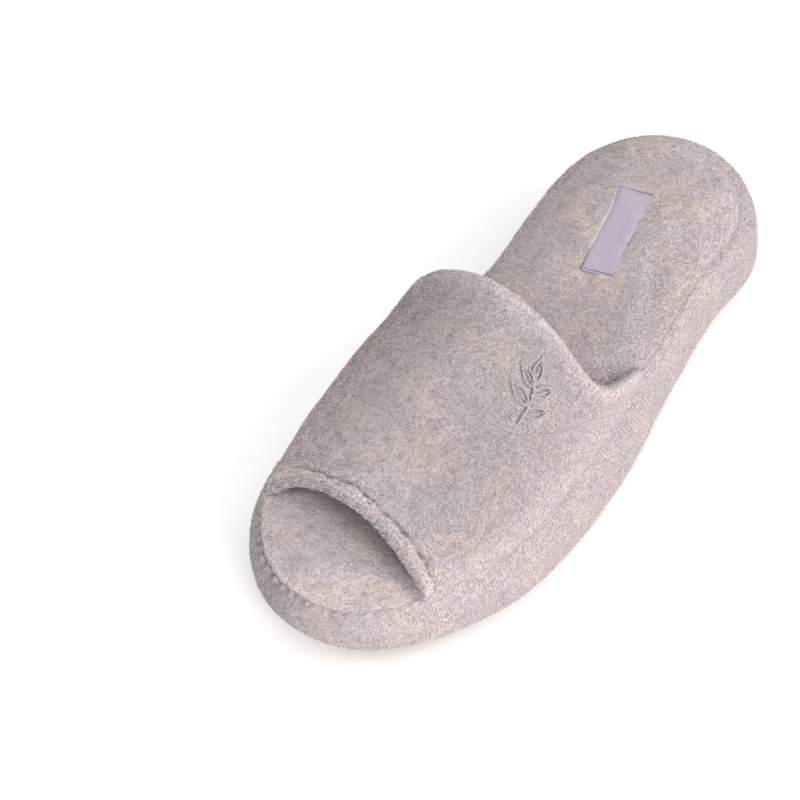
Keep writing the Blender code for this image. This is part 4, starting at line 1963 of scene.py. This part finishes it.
@dataclass
class Sprig:
    """A stitched leaf sprig on the outer side of the vamp."""

    vamp: Vamp
    along: float = 0.391
    arch: float = 0.276
    height: float = 0.0215
    bow: float = 0.0016
    tilt: float = math.radians(18)
    lift: float = 0.00048
    press_span: tuple[float, float] = (0.0006, 0.0022)
    finish: ThreadFinish = ThreadFinish("grey_thread", Colour(0.350, 0.318, 0.335))
    thread: Stitching = Stitching(pitch=0.0015, length=0.0020, thickness=0.00066, wander=0.18, seed=9)
    leaves: tuple[Leaf, ...] = (
        Leaf(stem=0.16, turn=62, length=0.48, width=0.20),
        Leaf(stem=0.30, turn=-60, length=0.50, width=0.21),
        Leaf(stem=0.48, turn=54, length=0.46, width=0.19),
        Leaf(stem=0.60, turn=-50, length=0.42, width=0.18),
        Leaf(stem=0.66, turn=2, length=0.44, width=0.19),
    )

    def on_vamp(self, flat: Array) -> Array:
        """Lays a flat drawing on the vamp.

        Args:
            flat: Points of the drawing, across and up, in metres.

        Returns:
            The points on the vamp's outside.
        """
        cos, sin = math.cos(self.tilt), math.sin(self.tilt)
        across = flat[:, 0] * cos - flat[:, 1] * sin
        up = flat[:, 0] * sin + flat[:, 1] * cos
        arch0 = math.pi * self.arch
        y0 = self.vamp.last.length * (self.along - 0.5)
        here = self.vamp.point(np.array([y0, y0]), np.array([arch0, arch0 + 0.02]))
        per_angle = float(np.linalg.norm(here[1] - here[0])) / 0.02
        arch = arch0 - across / per_angle
        y = y0 + up * 0.96
        point, out, _ = self.vamp.frames(y, arch)
        soft = self.vamp.relief.at(point) + self.vamp.folds(y, arch)
        return point + out * (soft - self.vamp.terry.sink + self.lift)[:, None]

    def stem_point(self, share: Any) -> Array:
        """The stem's own curve, from its foot to its tip."""
        share = np.asarray(share, float)
        across = self.bow * np.sin(math.pi * share * 1.15)
        return np.stack([across, self.height * (share - 0.5)], axis=-1)

    def drawing(self) -> list[Array]:
        """The sprig's lines in the flat: the stem, and each leaf's two sides, rib and veins.

        Returns:
            The lines.
        """
        lines = [self.stem_point(np.linspace(0.0, 0.80, 30))]
        lines.append(self.stem_point(np.linspace(0.02, 0.78, 30)) + [0.00045, 0.0])
        for leaf in self.leaves:
            root = self.stem_point(leaf.stem)
            turn = math.radians(leaf.turn)
            ahead = np.array([math.sin(turn), math.cos(turn)])
            aside = np.array([ahead[1], -ahead[0]])
            long = leaf.length * self.height
            wide = leaf.width * self.height / 2
            share = np.linspace(0, 1, 22)[:, None]
            belly = np.sin(math.pi * share**0.85)
            for side in (-1, 1):
                lines.append(root + ahead * long * share + aside * side * wide * belly)
                lines.append(root + ahead * long * (0.04 + 0.90 * share) + aside * side * 0.78 * wide * belly)
            lines.append(root + ahead * long * 0.9 * share)
        return lines

    @cached_property
    def lines(self) -> list[Array]:
        """The sprig's lines on the vamp."""
        return [self.on_vamp(line) for line in self.drawing()]

    def near(self, points: Array) -> Array:
        """1 at the stitches, 0 a few millimetres off, for pressing the pile down there.

        Args:
            points: Points of the vamp.

        Returns:
            One value for each point.
        """
        sewn = np.concatenate([line[::3] for line in self.lines])
        low, high = sewn.min(axis=0) - 0.004, sewn.max(axis=0) + 0.004
        picked = np.nonzero(np.all((points > low) & (points < high), axis=1))[0]
        result = np.zeros(len(points))
        gaps = np.linalg.norm(points[picked, None] - sewn[None], axis=2).min(axis=1)
        result[picked] = 1 - ease(gaps, *self.press_span)
        return result

    def dress(self) -> None:
        """Sews the sprig and puts it on the frame."""
        sewn = self.thread.sew("leaf_sprig_stitches", self.lines, self.finish.material())
        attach(sewn, "root")
        LOG.info("leaf sprig: %d lines", len(self.lines))


class Lamp(NamedTuple):
    """A soft lamp: its place from the middle of the slipper, its size, power and colour."""

    name: str
    right: float
    up: float
    back: float
    size: float
    power: float
    colour: Colour


@dataclass
class Studio:
    """Pale floor, soft lamps and the camera at the photograph's angle."""

    azimuth: float = math.radians(42.235)
    elevation: float = math.radians(50.588)
    roll: float = math.radians(-8.434)
    distance: float = 1.5644
    shift_right: float = 0.041566
    shift_up: float = -0.005435
    pixels_per_mm: float = 2.7645
    image_pixels: int = 800
    sensor: float = 36.0
    sky: float = 1.10
    floor_half: float = 4.0
    lamps: tuple[Lamp, ...] = (
        Lamp("side", right=1.5, up=0.6, back=0.3, size=0.9, power=16.5, colour=Colour(1.0, 0.995, 0.99)),
        Lamp("front", right=0.6, up=0.7, back=1.5, size=0.7, power=16.5, colour=Colour(1.0, 1.0, 1.0)),
        Lamp("inner", right=-1.5, up=0.9, back=-0.1, size=0.9, power=5.0, colour=Colour(1.0, 1.0, 1.0)),
    )

    def axes(self) -> tuple[Vector, Vector, Vector]:
        """The camera's right, up and backward directions.

        Returns:
            The three directions.
        """
        az, el = self.azimuth, self.elevation
        back = Vector((math.sin(az) * math.cos(el), -math.cos(az) * math.cos(el), math.sin(el)))
        level = Vector((math.cos(az), math.sin(az), 0.0))
        rise = back.cross(level)
        right = math.cos(self.roll) * level + math.sin(self.roll) * rise
        up = -math.sin(self.roll) * level + math.cos(self.roll) * rise
        return right, up, back

    def camera(self, centre_x: float) -> None:
        """Sets up the camera.

        Args:
            centre_x: How far the outline's own middle lies from the frame's.
        """
        right, up, back = self.axes()
        place = -self.shift_right * right - self.shift_up * up + self.distance * back
        place.x -= centre_x
        data = bpy.data.cameras.new("photo_camera")
        data.sensor_width = self.sensor
        data.lens = self.pixels_per_mm * 1000 * self.distance / self.image_pixels * self.sensor
        data.clip_start, data.clip_end = 0.05, 20.0
        data.dof.use_dof = False
        made = link(bpy.data.objects.new("photo_camera", data))
        matrix = Matrix.Identity(4)
        for number, axis in enumerate((right, up, back, place)):
            for row in range(3):
                matrix[row][number] = axis[row]
        made.matrix_world = matrix
        bpy.context.scene.camera = made

    def light(self) -> None:
        """Hangs the soft lamps and sets the even light of the room."""
        level = Vector((math.cos(self.azimuth), math.sin(self.azimuth), 0.0))
        toward = Vector((math.sin(self.azimuth), -math.cos(self.azimuth), 0.0))
        for lamp in self.lamps:
            data = bpy.data.lights.new(lamp.name, "AREA")
            data.shape = "DISK"
            data.size = lamp.size
            data.energy = lamp.power
            data.color = lamp.colour
            place = lamp.right * level + lamp.back * toward + Vector((0.0, 0.0, lamp.up))
            made = link(bpy.data.objects.new(lamp.name, data))
            made.location = place
            made.rotation_mode = "QUATERNION"
            made.rotation_quaternion = place.to_track_quat("Z", "Y")
        world = bpy.data.worlds.new("room")
        world.use_nodes = True
        background = world.node_tree.nodes["Background"]
        background.inputs["Color"].default_value = (1.0, 1.0, 1.0, 1.0)
        background.inputs["Strength"].default_value = self.sky
        bpy.context.scene.world = world
        bpy.context.scene.view_settings.view_transform = "Standard"

    def floor(self) -> None:
        """Lays the pale floor."""
        signs = ((-1, -1), (1, -1), (1, 1), (-1, 1))
        corners = [(x * self.floor_half, y * self.floor_half, 0) for x, y in signs]
        mesh = bpy.data.meshes.new("floor")
        mesh.from_pydata(corners, [], [(0, 1, 2, 3)])
        made = link(bpy.data.objects.new("floor", mesh))
        mesh.materials.append(PaperFinish().material())


def main() -> None:
    """Builds and dresses the slipper, piece by piece, and sets up the studio."""
    logging.basicConfig(level=logging.INFO, format="%(message)s")
    last = Last()
    Outsole().dress()
    WrappedPlatform(last, Terry(TerryFinish("band_terry", tone=0.95, rib_pitch=0.0012))).dress()
    label = HeelLabel(last)
    Footbed(last, Terry(TerryFinish("bed_terry", tone=0.955), slot="footbed_terry"), label).dress()
    vamp = Vamp(last, Terry(TerryFinish("upper_terry", tone=0.905), slot="vamp_terry"))
    sprig = Sprig(vamp)
    vamp.dress(sprig.near)
    sprig.dress()
    label.dress(ThreadFinish("tacking_thread", Colour(0.20, 0.16, 0.22)).material())
    studio = Studio()
    studio.floor()
    studio.light()
    studio.camera(last.centre_x)


if __name__ == "__main__":
    main()
